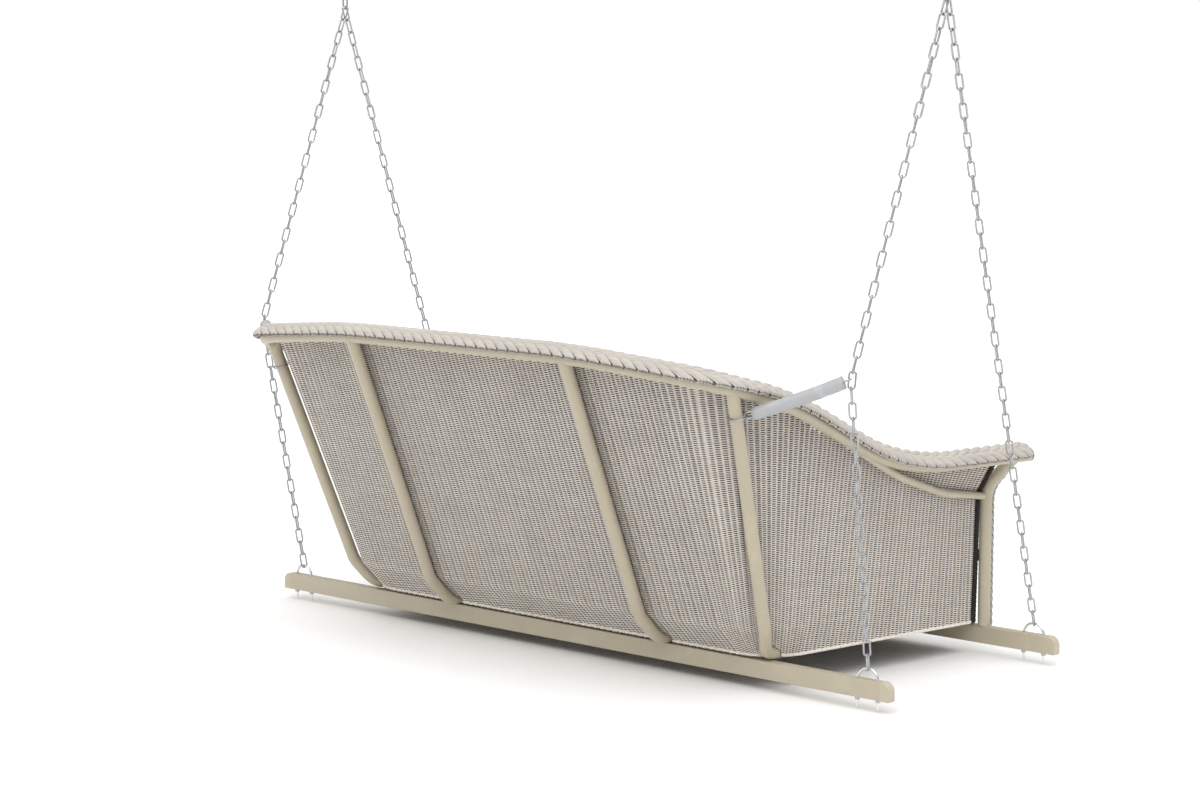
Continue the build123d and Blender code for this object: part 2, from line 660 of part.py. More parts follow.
def stay_hoop():
    return Plane(origin=HOOP_CENTRE, z_dir=POST_DIRECTION).location * Torus(HOOP_CENTRE_LINE, CHAIN_RADIUS)


def stay_chain():
    hung = CHAIN_RADIUS + JOINT_SLACK
    return chain(HOOP_WIRE, STAY_END, CHAIN_RADIUS, hung, POST_DIRECTION, KINK_ACROSS, settle=STAY_LINKS)


def sleeve():
    """Soft clear tube that hangs on the stay chain."""
    drop = SLEEVE_DIAMETER / 2 - SLEEVE_WALL - CHAIN_LINK_WIDTH / 2 - FIT
    down = unit(Vector(0, 0, -1) + STAY_DIRECTION * STAY_DIRECTION.Z)
    end = STAY_END - STAY_DIRECTION * 12 + down * drop
    start = end - STAY_DIRECTION * SLEEVE_LENGTH
    return along(Line(start, end), SLEEVE_DIAMETER / 2, SLEEVE_WALL)


def joining_link():
    return placed_link(link(LINK_LENGTH), KINK, KINK_AXIS, KINK_OUT)


def front_chain():
    start = APEX + Vector(SIDE_BY_SIDE, 0, SIDE_LIFT)
    end = Vector(U_BOLT_X, -RAIL_Y, ARCH_TOP_Z)
    return chain(start, end, APEX_RADIUS, U_BOLT_WIRE / 2, Vector(0, 1, 0), LAST_LINK_WIDTH)


def rear_upper_chain():
    start = APEX + Vector(-SIDE_BY_SIDE, 0, SIDE_LIFT)
    end = KINK + KINK_AXIS * (LINK_LENGTH / 2)
    return chain(start, end, APEX_RADIUS, HUNG_RADIUS, Vector(0, 1, 0), KINK_ACROSS)


def rear_lower_chain():
    start = KINK - KINK_AXIS * (LINK_LENGTH / 2)
    return chain(start, REAR_U_BOLT_TOP, HUNG_RADIUS, U_BOLT_WIRE / 2, KINK_ACROSS, LAST_LINK_WIDTH)


# ================================================================ assembly
def group(solids):
    return Compound(children=[s for shape in solids for s in shape.solids()])


def build():
    nodes = {
        "rear_rail": rail(RAIL_Y),
        "front_rail": rail(-RAIL_Y),
        "rail_end_caps": group([rail_end_cap(side, y) for side in (-1, 1) for y in (-RAIL_Y, RAIL_Y)]),
        "u_bolts": group([u_bolt(x, y) for x, y in u_bolt_seats()]),
        "u_bolt_washers": group(under_rail(washer)),
        "u_bolt_nuts": group(under_rail(nut)),
        "top_tube": along(TOP_PATH, TUBE_RADIUS, TUBE_WALL),
        "top_tube_plugs": group([top_plug(), mirror(top_plug(), about=Plane.YZ)]),
        "seat_front_tube": cross_tube(-RAIL_Y, SEAT_TUBE_Z, FRONT_POST_X - TUBE_RADIUS - FIT),
        "seat_rear_tube": cross_tube(SEAT_REAR_TUBE_Y, SEAT_TUBE_Z, SEAT_REAR_TUBE_HALF),
        "seat_rear_legs": group([seat_leg(side * x) for side in (-1, 1) for x in (BACK_POST_X, CORNER_POST_FOOT[0])]),
        "seat_straps": group([strap((i - (STRAP_COUNT - 1) / 2) * STRAP_SPACING) for i in range(STRAP_COUNT)]),
        "seat_deck": seat_deck(),
        "front_apron": front_apron(),
        "back_centre_panel": back_centre_panel(),
        "back_braid": back_braid(),
    }
    nodes |= both_sides("corner_post", coped(CORNER_POST_PATH))
    nodes |= both_sides("back_post", coped(BACK_POST_PATH))
    nodes |= both_sides("front_post", coped(FRONT_POST_PATH))
    nodes |= both_sides("arm_brace", brace())
    nodes |= both_sides("back_panel", back_side_panel())
    nodes |= both_sides("side_panel", side_panel())
    nodes |= both_sides("arm_braid", arm_braid())
    nodes |= both_sides("post_braid", post_braid())
    nodes |= both_sides("stay_hoop", stay_hoop())
    nodes |= both_sides("stay_chain", group(stay_chain()))
    nodes |= both_sides("stay_sleeve", sleeve())
    nodes |= both_sides("joining_link", joining_link())
    nodes |= both_sides("front_chain", group(front_chain()))
    nodes |= both_sides("rear_upper_chain", group(rear_upper_chain()))
    nodes |= both_sides("rear_lower_chain", group(rear_lower_chain()))
    nodes |= both_sides("drop_chain", group(drop_chain()))
    nodes |= both_sides("ceiling_hook", ceiling_hook())
    return nodes


def main():
    os.makedirs("parts", exist_ok=True)
    nodes = build()
    box = Compound(children=[s for shape in nodes.values() for s in shape.solids()]).bounding_box()
    shift = Pos(-box.center().X, -box.center().Y, -box.min.Z)
    for name, shape in nodes.items():
        export_step(shift * shape, f"parts/{name}.step")
    print("origin moved by", [round(v, 3) for v in (-box.center().X, -box.center().Y, -box.min.Z)])
    print("size", [round(v, 1) for v in box.size])
    print("hinge at the hooks", APEX_X, APEX_Y, round(drop_hook_z(), 3), "apex", round(APEX_Z, 3))


if __name__ == "__main__":
    main()
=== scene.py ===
"""Hanging porch swing: woven loom shell, plaited trims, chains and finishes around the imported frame."""
import math

import bmesh
import bpy
import numpy as np
from bpy.props import FloatProperty, FloatVectorProperty, IntProperty, PointerProperty
from mathutils import Matrix, Vector
from mathutils.bvhtree import BVHTree


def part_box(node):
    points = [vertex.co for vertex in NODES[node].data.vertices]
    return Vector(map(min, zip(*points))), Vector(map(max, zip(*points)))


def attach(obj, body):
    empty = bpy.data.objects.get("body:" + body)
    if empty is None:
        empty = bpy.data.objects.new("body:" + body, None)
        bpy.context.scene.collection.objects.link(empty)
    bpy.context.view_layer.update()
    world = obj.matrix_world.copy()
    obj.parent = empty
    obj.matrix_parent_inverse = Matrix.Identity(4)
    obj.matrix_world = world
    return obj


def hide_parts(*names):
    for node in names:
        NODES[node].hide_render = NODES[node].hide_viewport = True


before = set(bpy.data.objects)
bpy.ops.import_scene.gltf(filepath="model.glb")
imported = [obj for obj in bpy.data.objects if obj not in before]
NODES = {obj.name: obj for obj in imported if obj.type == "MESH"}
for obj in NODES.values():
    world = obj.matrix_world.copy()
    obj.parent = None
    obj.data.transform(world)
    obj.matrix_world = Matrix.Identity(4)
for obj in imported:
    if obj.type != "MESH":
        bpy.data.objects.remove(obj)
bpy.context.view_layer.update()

bl_info = {
    "name": "Porch swing",
    "version": (1, 0, 0),
    "blender": (4, 5, 0),
    "location": "View3D > Sidebar > Swing",
    "description": "Builds the woven shell, braids, sleeves and finishes of a hanging porch swing",
    "category": "Object",
}

SWING = "swing"
SIDES = (("left", 1.0), ("right", -1.0))

# Everything below is placed from the point midway between the rails, level with their undersides.
_front, _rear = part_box("front_rail"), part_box("rear_rail")
ORIGIN = Vector((0.0, (_front[0].y + _rear[1].y) / 2, _front[0].z))

# The top tube's line on the +X side, from the middle of the back to the arm's tip.
TOP_CORNERS = ((0.385, 0.728, 0.783), (0.775, 0.690, 0.750), (0.812, 0.448, 0.687), (0.832, 0.034, 0.483),
               (0.918, -0.397, 0.486))
TOP_RADII = (1.5, 0.12, 1.0, 0.7)
POST_FOOT = (0.825, -0.346, 0.0447)
POST_BEND = (0.825, -0.346, 0.402)
POST_TOP = (0.9065, -0.346, 0.4855)
POST_BEND_RADIUS = 0.09
TUBE_RADIUS = 0.015875

# Plan line of the woven shell's foot.
FOOT_Y = 0.352
CORNER = (0.700, 0.352)
FRONT = (0.803, -0.322)
CORNER_RADIUS = 0.11
WALL_BOTTOM = 0.050
WALL_TOP = 0.790
FOOT_LENGTH = 1.349             # half of the plan line, from the middle of the back to a front end
EVEN_HEIGHT = 0.42              # where the stakes are evenly spaced
SIDE_SPLIT = 0.603              # round the shell, where the back's weave meets the sides'
THICKEST_WALL = 0.02            # two hits further apart than this are not one wall

# Weave: sides of each fibre's outline, and the dark sheet between the weave's two faces, which is painted shade
# seen through the gaps.
WEFT_SIDES, STAKE_SIDES = 4, 3
SHADE_SHEET_CELL = (0.023, 0.010)
SHADE_SHEET_THICKNESS = 0.0004
SEAT_ROW_STEP = 0.00275
HIDDEN_WEAVE_SIZE = 2           # seat and apron are woven at this many times the spacing
MERGE_DISTANCE = 0.00005

# Twisted edges: the foot's, and a dark rope up each front end, painted shade in the gap between the side and the
# front post.
FOOT_ROPE_RADIUS = 0.003
SHADE_ROPE_RADIUS, SHADE_ROPE_PITCH, SHADE_ROPE_LENGTH = 0.0055, 0.012, 0.431
SHADE_ROPE_PAST_EDGE = 0.008

# Braids: length of tube under each arm's braid, droop at the edges, fibre radius, gap at the arm's tip.
ARM_LENGTH = 1.02
PLAIT_DROP = 0.0078
PLAIT_FIBRE = 0.0031
ARM_TIP_GAP = 0.003
ROUNDED_END = 0.03
# Post braid: half width, crown, drop, slant, spacing, fibres in a limb and fibre radius, then its end clearances.
POST_PLAIT = (0.0148, 0.0245, 0.006, -0.015, 0.0200, 4, 0.0022)
POST_PLAIT_FOOT, POST_PLAIT_TO_TUBE = 0.002, 0.036

# Camera, from the same origin as the frame.
CAMERA_PLACE = (-4.8206, 5.5202, 1.5047)
CAMERA_YAW, CAMERA_PITCH = 42.16, 7.18
CAMERA_LENS = 84.47


# ---------------------------------------------------------------- settings
LENGTH = {"subtype": "DISTANCE", "unit": "LENGTH"}
COLOUR = {"subtype": "COLOR", "size": 4, "min": 0, "max": 1}


class SwingWeave(bpy.types.PropertyGroup):
    stake_pitch: FloatProperty(name="Stake spacing", description="Between upright stakes", default=0.0140, **LENGTH)
    row_pitch: FloatProperty(name="Row spacing", description="Height of one row of the weave", default=0.0027,
                             **LENGTH)
    row_height: FloatProperty(name="Fibre width", description="Width of a weaving fibre as seen", default=0.0023,
                              **LENGTH)
    row_depth: FloatProperty(name="Fibre thickness", description="Thickness of a weaving fibre", default=0.0020,
                             **LENGTH)
    stake_width: FloatProperty(name="Stake width", description="Width of an upright stake", default=0.0050,
                               **LENGTH)
    stake_depth: FloatProperty(name="Stake thickness", description="Thickness of an upright stake", default=0.0016,
                               **LENGTH)
    relief: FloatProperty(name="Relief", description="How far a fibre moves off the middle round a stake",
                          default=0.0017, **LENGTH)
    pale: FloatVectorProperty(name="Pale fibre", description="Colour of the palest fibre",
                              default=(0.97, 0.905, 0.83, 1), **COLOUR)
    # Deep fibre: painted shade in the twist's grooves, and the darker end of the fibre's random tone.
    deep: FloatVectorProperty(name="Deep fibre", description="Colour in the fibre's grooves",
                              default=(0.66, 0.60, 0.53, 1), **COLOUR)


class SwingBraid(bpy.types.PropertyGroup):
    pitch: FloatProperty(name="Plait spacing", description="From one chevron of the plait to the next",
                         default=0.0350, **LENGTH)
    strands: IntProperty(name="Fibres", description="Fibres side by side in one limb of the plait", default=5,
                         min=2, max=8)
    half_width: FloatProperty(name="Half width", description="Middle of the braid to its edge", default=0.0275,
                              **LENGTH)
    crown: FloatProperty(name="Crown height", description="Tube's middle to the plait's ridge", default=0.0345,
                         **LENGTH)
    slant: FloatProperty(name="Slant", description="How far a limb runs along the braid", default=-0.042,
                         min=-0.1, max=0.1, **LENGTH)


class SwingFinish(bpy.types.PropertyGroup):
    paint: FloatVectorProperty(name="Frame paint", description="Powder coat on rails and tubes",
                               default=(0.485, 0.43, 0.325, 1), **COLOUR)
    zinc: FloatVectorProperty(name="Zinc", description="Plating on chains and hooks",
                              default=(0.44, 0.455, 0.47, 1), **COLOUR)
    floor: FloatVectorProperty(name="Floor", description="Floor and backdrop", default=(0.98, 0.98, 0.98, 1),
                               **COLOUR)


# ---------------------------------------------------------------- shader nodes
def add_node(tree, kind, settings=None, **inputs):
    """Adds a node; each input is a value or the socket that feeds it, by name or by _number."""
    node = tree.nodes.new(kind)
    for name, value in (settings or {}).items():
        setattr(node, name, value)
    for name, value in inputs.items():
        key = int(name[1:]) if name.startswith("_") else name.replace("_", " ")
        socket = node.inputs[key]
        if isinstance(value, bpy.types.NodeSocket):
            tree.links.new(value, socket)
        else:
            socket.default_value = value
    return node


def arithmetic(tree, operation, first, second):
    return add_node(tree, "ShaderNodeMath", {"operation": operation}, _0=first, _1=second).outputs[0]


def mix_colours(tree, factor, first, second):
    return add_node(tree, "ShaderNodeMix", {"data_type": "RGBA"}, _0=factor, _6=first, _7=second).outputs[2]


def scaled(colour, share):
    return tuple(min(1.0, c * share) for c in colour[:3]) + (1,)


def new_group(name, inputs, outputs):
    """An empty shader group with named sockets, its input node and its output node."""
    tree = bpy.data.node_groups.new(name, "ShaderNodeTree")
    for label, kind, value in inputs:
        socket = tree.interface.new_socket(name=label, in_out="INPUT", socket_type="NodeSocket" + kind)
        if value is not None:
            socket.default_value = value
    for label, kind in outputs:
        tree.interface.new_socket(name=label, in_out="OUTPUT", socket_type="NodeSocket" + kind)
    return tree, tree.nodes.new("NodeGroupInput"), tree.nodes.new("NodeGroupOutput")


def fibre_group():
    """Twisted paper fibre: a spiral groove along each strand, painted darker towards Deep as painted shade, and
    strands that differ in tone at random.
    """
    name = "Twisted fibre"
    if name in bpy.data.node_groups:
        return bpy.data.node_groups[name]
    tree, given, result = new_group(
        name,
        [("Strand", "Vector", None), ("Place", "Vector", None), ("Pale", "Color", (0.5, 0.45, 0.38, 1)),
         ("Deep", "Color", (0.3, 0.26, 0.2, 1)), ("Twists", "Float", 75.0), ("Contrast", "Float", 0.5)],
        [("Colour", "Color"), ("Roughness", "Float"), ("Height", "Float")])
    strand, place = given.outputs["Strand"], given.outputs["Place"]
    slanted = add_node(tree, "ShaderNodeMapping", Vector=strand, Rotation=(0, 0, math.radians(38))).outputs[0]
    twist = add_node(tree, "ShaderNodeTexWave", {"bands_direction": "X"}, Vector=slanted,
                     Scale=given.outputs["Twists"], Distortion=1.2, Detail=2.0, Detail_Scale=2.0).outputs["Fac"]
    stretched = add_node(tree, "ShaderNodeMapping", Vector=strand, Scale=(7.0, 190.0, 1.0)).outputs[0]
    streak = add_node(tree, "ShaderNodeTexNoise", Vector=stretched, Scale=1.0, Detail=2.0).outputs["Fac"]
    blotch = add_node(tree, "ShaderNodeTexNoise", Vector=place, Scale=9.0, Detail=3.0).outputs["Fac"]
    fuzz = add_node(tree, "ShaderNodeTexNoise", Vector=place, Scale=1400.0, Detail=2.0).outputs["Fac"]
    # Painted shade: the twist's grooves are mixed towards Deep; the streak and blotch noise add random tone.
    shade = arithmetic(tree, "MULTIPLY", arithmetic(tree, "SUBTRACT", 1.0, twist), given.outputs["Contrast"])
    for noise, middle, weight in ((streak, 0.42, 1.1), (blotch, 0.5, 0.5)):
        change = arithmetic(tree, "MULTIPLY", arithmetic(tree, "SUBTRACT", noise, middle), weight)
        shade = arithmetic(tree, "ADD", shade, change)
    shade = add_node(tree, "ShaderNodeClamp", Value=shade, Min=0.0, Max=1.0).outputs[0]
    tree.links.new(mix_colours(tree, shade, given.outputs["Pale"], given.outputs["Deep"]), result.inputs["Colour"])
    tree.links.new(add_node(tree, "ShaderNodeMapRange", Value=fuzz, To_Min=0.62, To_Max=0.86).outputs[0],
                   result.inputs["Roughness"])
    tree.links.new(arithmetic(tree, "ADD", arithmetic(tree, "MULTIPLY", twist, 0.75),
                              arithmetic(tree, "MULTIPLY", fuzz, 0.35)), result.inputs["Height"])
    return tree


def wear_group():
    """Fine unevenness and faint marks on paint and plating."""
    name = "Fine wear"
    if name in bpy.data.node_groups:
        return bpy.data.node_groups[name]
    tree, given, result = new_group(
        name,
        [("Place", "Vector", None), ("Grain", "Float", 600.0), ("Marks", "Float", 14.0), ("Base", "Float", 0.4),
         ("Spread", "Float", 0.15)],
        [("Mask", "Float"), ("Roughness", "Float"), ("Height", "Float")])
    place = given.outputs["Place"]
    grain = add_node(tree, "ShaderNodeTexNoise", Vector=place, Scale=given.outputs["Grain"],
                     Detail=2.0).outputs["Fac"]
    marks = add_node(tree, "ShaderNodeTexNoise", Vector=place, Scale=given.outputs["Marks"], Detail=5.0,
                     Roughness=0.65).outputs["Fac"]
    mask = add_node(tree, "ShaderNodeMapRange", Value=marks, From_Min=0.52, From_Max=0.74).outputs[0]
    tree.links.new(mask, result.inputs["Mask"])
    change = arithmetic(tree, "MULTIPLY", arithmetic(tree, "SUBTRACT", marks, 0.5), given.outputs["Spread"])
    tree.links.new(arithmetic(tree, "ADD", given.outputs["Base"], change), result.inputs["Roughness"])
    tree.links.new(grain, result.inputs["Height"])
    return tree


def new_material(name):
    material = bpy.data.materials.new(name)
    material.use_nodes = True
    return material, material.node_tree, material.node_tree.nodes["Principled BSDF"]


def place_group(tree, group, **inputs):
    return add_node(tree, "ShaderNodeGroup", {"node_tree": group}, **inputs)


def add_bump(tree, shader, height, strength, distance):
    bump = add_node(tree, "ShaderNodeBump", Height=height, Strength=strength, Distance=distance)
    tree.links.new(bump.outputs[0], shader.inputs["Normal"])


def fibre_material(name, pale, deep, twists, contrast):
    """Matt twisted fibre; the pattern follows the strands through their UV map."""
    if name in bpy.data.materials:
        return bpy.data.materials[name]
    material, tree, shader = new_material(name)
    where = add_node(tree, "ShaderNodeTexCoord")
    fibre = place_group(tree, fibre_group(), Strand=where.outputs["UV"], Place=where.outputs["Object"], Pale=pale,
                        Deep=deep, Twists=twists, Contrast=contrast)
    tree.links.new(fibre.outputs["Colour"], shader.inputs["Base Color"])
    tree.links.new(fibre.outputs["Roughness"], shader.inputs["Roughness"])
    shader.inputs["Specular IOR Level"].default_value = 0.28
    add_bump(tree, shader, fibre.outputs["Height"], 0.5, 0.0004)
    return material


def coated_material(name, colour, marked, roughness, spread, metallic=0.0, grain=600.0, marks=14.0, bump=0.15,
                    coat=0.0):
    """Painted or plated metal with fine grain and faint marks."""
    if name in bpy.data.materials:
        return bpy.data.materials[name]
    material, tree, shader = new_material(name)
    where = add_node(tree, "ShaderNodeTexCoord")
    wear = place_group(tree, wear_group(), Place=where.outputs["Object"], Grain=grain, Marks=marks, Base=roughness,
                       Spread=spread)
    tree.links.new(mix_colours(tree, wear.outputs["Mask"], colour, marked), shader.inputs["Base Color"])
    tree.links.new(wear.outputs["Roughness"], shader.inputs["Roughness"])
    shader.inputs["Metallic"].default_value = metallic
    shader.inputs["Coat Weight"].default_value = coat
    shader.inputs["Coat Roughness"].default_value = 0.25
    add_bump(tree, shader, wear.outputs["Height"], bump, 0.0004)
    return material


def vinyl_material():
    """Cloudy soft clear tube."""
    name = "Cloudy vinyl"
    if name in bpy.data.materials:
        return bpy.data.materials[name]
    material, tree, shader = new_material(name)
    where = add_node(tree, "ShaderNodeTexCoord")
    wear = place_group(tree, wear_group(), Place=where.outputs["Object"], Grain=260.0, Marks=14.0, Base=0.26,
                       Spread=0.15)
    colour = mix_colours(tree, wear.outputs["Mask"], (0.50, 0.51, 0.52, 1), (0.56, 0.57, 0.58, 1))
    tree.links.new(colour, shader.inputs["Base Color"])
    tree.links.new(wear.outputs["Roughness"], shader.inputs["Roughness"])
    tree.links.new(add_node(tree, "ShaderNodeMapRange", Value=wear.outputs["Mask"], To_Min=0.80,
                            To_Max=0.88).outputs[0], shader.inputs["Alpha"])
    shader.inputs["IOR"].default_value = 1.5
    add_bump(tree, shader, wear.outputs["Height"], 0.2, 0.0005)
    return material


def weave_materials():
    weave = bpy.context.scene.swing_weave
    pale, deep = tuple(weave.pale), tuple(weave.deep)
    return [fibre_material("Weft fibre", pale, deep, 75.0, 0.22),
            # Painted shade: the stakes take 0.14 of the fibre's colours, so that the gaps where the weft dives
            # behind them look dark.
            fibre_material("Stake fibre", scaled(pale, 0.14), scaled(deep, 0.14), 95.0, 0.5),
            # Painted shade: the near-black sheet between the weave's faces darkens what shows through the gaps.
            coated_material("Liner cloth", (0.020, 0.016, 0.013, 1), (0.034, 0.028, 0.022, 1), 0.9, 0.1,
                            grain=900.0, bump=0.3)]


def braid_materials():
    weave = bpy.context.scene.swing_weave
    # The braid's Deep colour is the weave's at 0.57: painted shade in the braid's grooves, deeper than in the
    # weave, and its random tone.
    deep = scaled(weave.deep, 0.57)
    # Painted shade: the core under the plait is dark, standing for the shade beneath the braid.
    under_braid_shade = scaled(deep, 0.35)
    return [fibre_material("Braid fibre", scaled(weave.pale, 0.62), deep, 60.0, 0.15),
            fibre_material("Braid core", under_braid_shade, under_braid_shade, 60.0, 0.2)]


# ---------------------------------------------------------------- mesh tools
def new_piece(name, mesh, materials, nodes):
    """Makes a finished piece of the swing that stands for some CAD nodes."""
    mesh.name = name
    piece = bpy.data.objects.new(name, mesh)
    bpy.context.scene.collection.objects.link(piece)
    for material in materials:
        mesh.materials.append(material)
    mesh.polygons.foreach_set("use_smooth", [True] * len(mesh.polygons))
    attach(piece, SWING)
    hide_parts(*nodes)


def strand(bm, points, radii, sides, material=0):
    """A fibre through some points: a ring is extruded from each point to the next and turned to suit.

    Each radius is a pair, across the fibre's widest way and through its thickness (along Z).
    """
    points = [Vector(p) for p in points]
    ring, last = None, None
    for i, point in enumerate(points):
        ahead = (points[min(i + 1, len(points) - 1)] - points[max(i - 1, 0)]).normalized()
        wide = ahead.cross(Vector((0, 0, 1))).normalized()
        thick = wide.cross(ahead)
        width, depth = radii[i]
        turn = Matrix((wide * width, thick * depth, ahead)).transposed().to_4x4()
        here = Matrix.Translation(point) @ turn
        if ring is None:
            made = bmesh.ops.create_circle(bm, segments=sides, radius=1.0, matrix=here, cap_ends=False)
            ring = list({e for v in made["verts"] for e in v.link_edges})
        else:
            made = bmesh.ops.extrude_edge_only(bm, edges=ring)
            verts = [g for g in made["geom"] if isinstance(g, bmesh.types.BMVert)]
            ring = [g for g in made["geom"] if isinstance(g, bmesh.types.BMEdge)]
            bmesh.ops.transform(bm, matrix=here @ last.inverted(), verts=verts)
            ring = [e for e in ring if e.verts[0] in verts and e.verts[1] in verts]
            for face in made["geom"]:
                if isinstance(face, bmesh.types.BMFace):
                    face.material_index = material
        last = here


def finished_mesh(bm, name):
    """The mesh of a bmesh, with its faces turned outwards."""
    bmesh.ops.recalc_face_normals(bm, faces=bm.faces[:])
    mesh = bpy.data.meshes.new(name)
    bm.to_mesh(mesh)
    bm.free()
    return mesh


def repeated(mesh, counts, steps):
    """The tile repeated along X and then Y, with the joints between copies merged."""
    tile = bpy.data.objects.new("tile", mesh)
    bpy.context.scene.collection.objects.link(tile)
    for axis, (count, step) in enumerate(zip(counts, steps)):
        array = tile.modifiers.new("array", "ARRAY")
        array.use_relative_offset = False
        array.use_constant_offset = True
        array.constant_offset_displace = [step if k == axis else 0.0 for k in range(3)]
        array.count = count
        array.use_merge_vertices = True
        array.merge_threshold = MERGE_DISTANCE
    shown = tile.evaluated_get(bpy.context.evaluated_depsgraph_get())
    result = bpy.data.meshes.new_from_object(shown)
    bpy.data.objects.remove(tile)
    return result


def coordinates(mesh):
    flat = np.empty(len(mesh.vertices) * 3)
    mesh.vertices.foreach_get("co", flat)
    return flat.reshape(-1, 3)


def write_strand_uv(mesh, flat):
    """UV along and across each strand: X and Y for the weft, swapped for the stakes (material 1)."""
    loops = np.empty(len(mesh.loops), int)
    mesh.loops.foreach_get("vertex_index", loops)
    stake = np.zeros(len(mesh.polygons), int)
    mesh.polygons.foreach_get("material_index", stake)
    totals = np.empty(len(mesh.polygons), int)
    mesh.polygons.foreach_get("loop_total", totals)
    swapped = np.repeat(stake, totals) == 1
    uv = flat[loops][:, :2].copy()
    uv[swapped] = uv[swapped][:, ::-1]
    layer = mesh.uv_layers.get("strands") or mesh.uv_layers.new(name="strands")
    layer.data.foreach_set("uv", uv.ravel())


def laid(mesh, place):
    """Moves a flat mesh onto its surface and drops whatever falls off the surface's edge."""
    flat = coordinates(mesh)
    write_strand_uv(mesh, flat)
    placed = place(flat)
    lost = np.isnan(placed).any(axis=1)
    placed[lost] = 0.0
    mesh.vertices.foreach_set("co", placed.ravel())
    if lost.any():
        bm = bmesh.new()
        bm.from_mesh(mesh)
        bm.verts.ensure_lookup_table()
        bmesh.ops.delete(bm, geom=[bm.verts[i] for i in np.flatnonzero(lost)], context="VERTS")
        bmesh.ops.holes_fill(bm, edges=[e for e in bm.edges if e.is_boundary], sides=8)
        bm.to_mesh(mesh)
        bm.free()
    mesh.update()
    return mesh


# ---------------------------------------------------------------- surfaces that the fibres follow
def smoothed(values, passes):
    """Rounds folds by averaging each row of a table with the rows beside it."""
    for _ in range(passes):
        middle = (values[:, :-2] + 2 * values[:, 1:-1] + values[:, 2:]) / 4
        known = ~np.isnan(middle)
        values[:, 1:-1][known] = middle[known]
    return values


def wall_trees(nodes):
    """Ray-casting trees of some CAD walls."""
    trees = []
    for node in nodes:
        bm = bmesh.new()
        bm.from_mesh(NODES[node].data)
        trees.append(BVHTree.FromBMesh(bm))
        bm.free()
    return trees


class Surface:
    """Middle of a thin CAD wall, measured by rays through it, as a table over its flat coordinates."""

    def __init__(self, nodes, ray, across, along, folds=6):
        self.s0, self.ds, self.t0, self.dt = across[0], across[1], along[0], along[1]
        walls = wall_trees(nodes)
        self.points = np.full((across[2], along[2], 3), np.nan)
        self.normals = np.full((across[2], along[2], 3), np.nan)
        for i in range(across[2]):
            for j in range(along[2]):
                hit = self.wall_at(walls, *ray(self.s0 + i * self.ds, self.t0 + j * self.dt))
                if hit:
                    self.points[i, j], self.normals[i, j] = hit
        self.points = smoothed(self.points, folds)
        across_wall = np.cross(np.gradient(self.points, axis=0), np.gradient(self.points, axis=1))
        across_wall /= np.linalg.norm(across_wall, axis=2)[:, :, None]
        across_wall *= np.sign((across_wall * self.normals).sum(axis=2))[:, :, None]
        measured = ~np.isnan(across_wall)
        self.normals[measured] = across_wall[measured]

    @staticmethod
    def wall_at(walls, outside, inside):
        """The wall's middle and its outward normal on the line between two points."""
        inward = (inside - outside).normalized()
        for wall in walls:
            outer, normal, _, _ = wall.ray_cast(outside, inward)
            inner = wall.ray_cast(inside, -inward)[0]
            if outer and inner and (outer - inner).length < THICKEST_WALL:
                normal = normal if normal.dot(inward) < 0 else -normal
                return (outer + inner) / 2, normal
        return None

    def place(self, flat):
        """Flat (across, along, height) coordinates to points on the wall."""
        i = (flat[:, 0] - self.s0) / self.ds
        j = (flat[:, 1] - self.t0) / self.dt
        i0 = np.clip(np.floor(i).astype(int), 0, self.points.shape[0] - 2)
        j0 = np.clip(np.floor(j).astype(int), 0, self.points.shape[1] - 2)
        a, b = (i - i0)[:, None], (j - j0)[:, None]
        off = (i < -0.01) | (i > self.points.shape[0] - 0.99) | (j < -0.01) | (j > self.points.shape[1] - 0.99)

        def blended(table):
            low = table[i0, j0] * (1 - a) + table[i0 + 1, j0] * a
            high = table[i0, j0 + 1] * (1 - a) + table[i0 + 1, j0 + 1] * a
            return low * (1 - b) + high * b

        points, normals = blended(self.points), blended(self.normals)
        normals /= np.linalg.norm(normals, axis=1)[:, None]
        result = points + normals * flat[:, 2:3]
        result[off] = np.nan
        return result


def plan_line(s):
    """Point and outward direction of the shell's foot, a distance s round from the middle of the back."""
    side = 1.0 if s >= 0 else -1.0
    s = abs(s)
    run = Vector((FRONT[0] - CORNER[0], FRONT[1] - CORNER[1]))
    turn = math.radians(90) - math.atan2(run.x, -run.y)
    tangent_length = CORNER_RADIUS * math.tan(turn / 2)
    straight = CORNER[0] - tangent_length
    if s <= straight:
        x, y, nx, ny = s, FOOT_Y, 0.0, 1.0
    elif s <= straight + CORNER_RADIUS * turn:
        angle = (s - straight) / CORNER_RADIUS
        nx, ny = math.sin(angle), math.cos(angle)
        x, y = straight + CORNER_RADIUS * nx, FOOT_Y - CORNER_RADIUS + CORNER_RADIUS * ny
    else:
        run.normalize()
        beyond = s - straight - CORNER_RADIUS * turn + tangent_length
        x, y = CORNER[0] + run.x * beyond, CORNER[1] + run.y * beyond
        nx, ny = -run.y, run.x
    return Vector((side * x, y, 0)), Vector((side * nx, ny, 0))


def shell_ray(s, height):
    point, outward = plan_line(s)
    base = ORIGIN + point + Vector((0, 0, height))
    return base + outward * 0.6, base - outward * 0.06


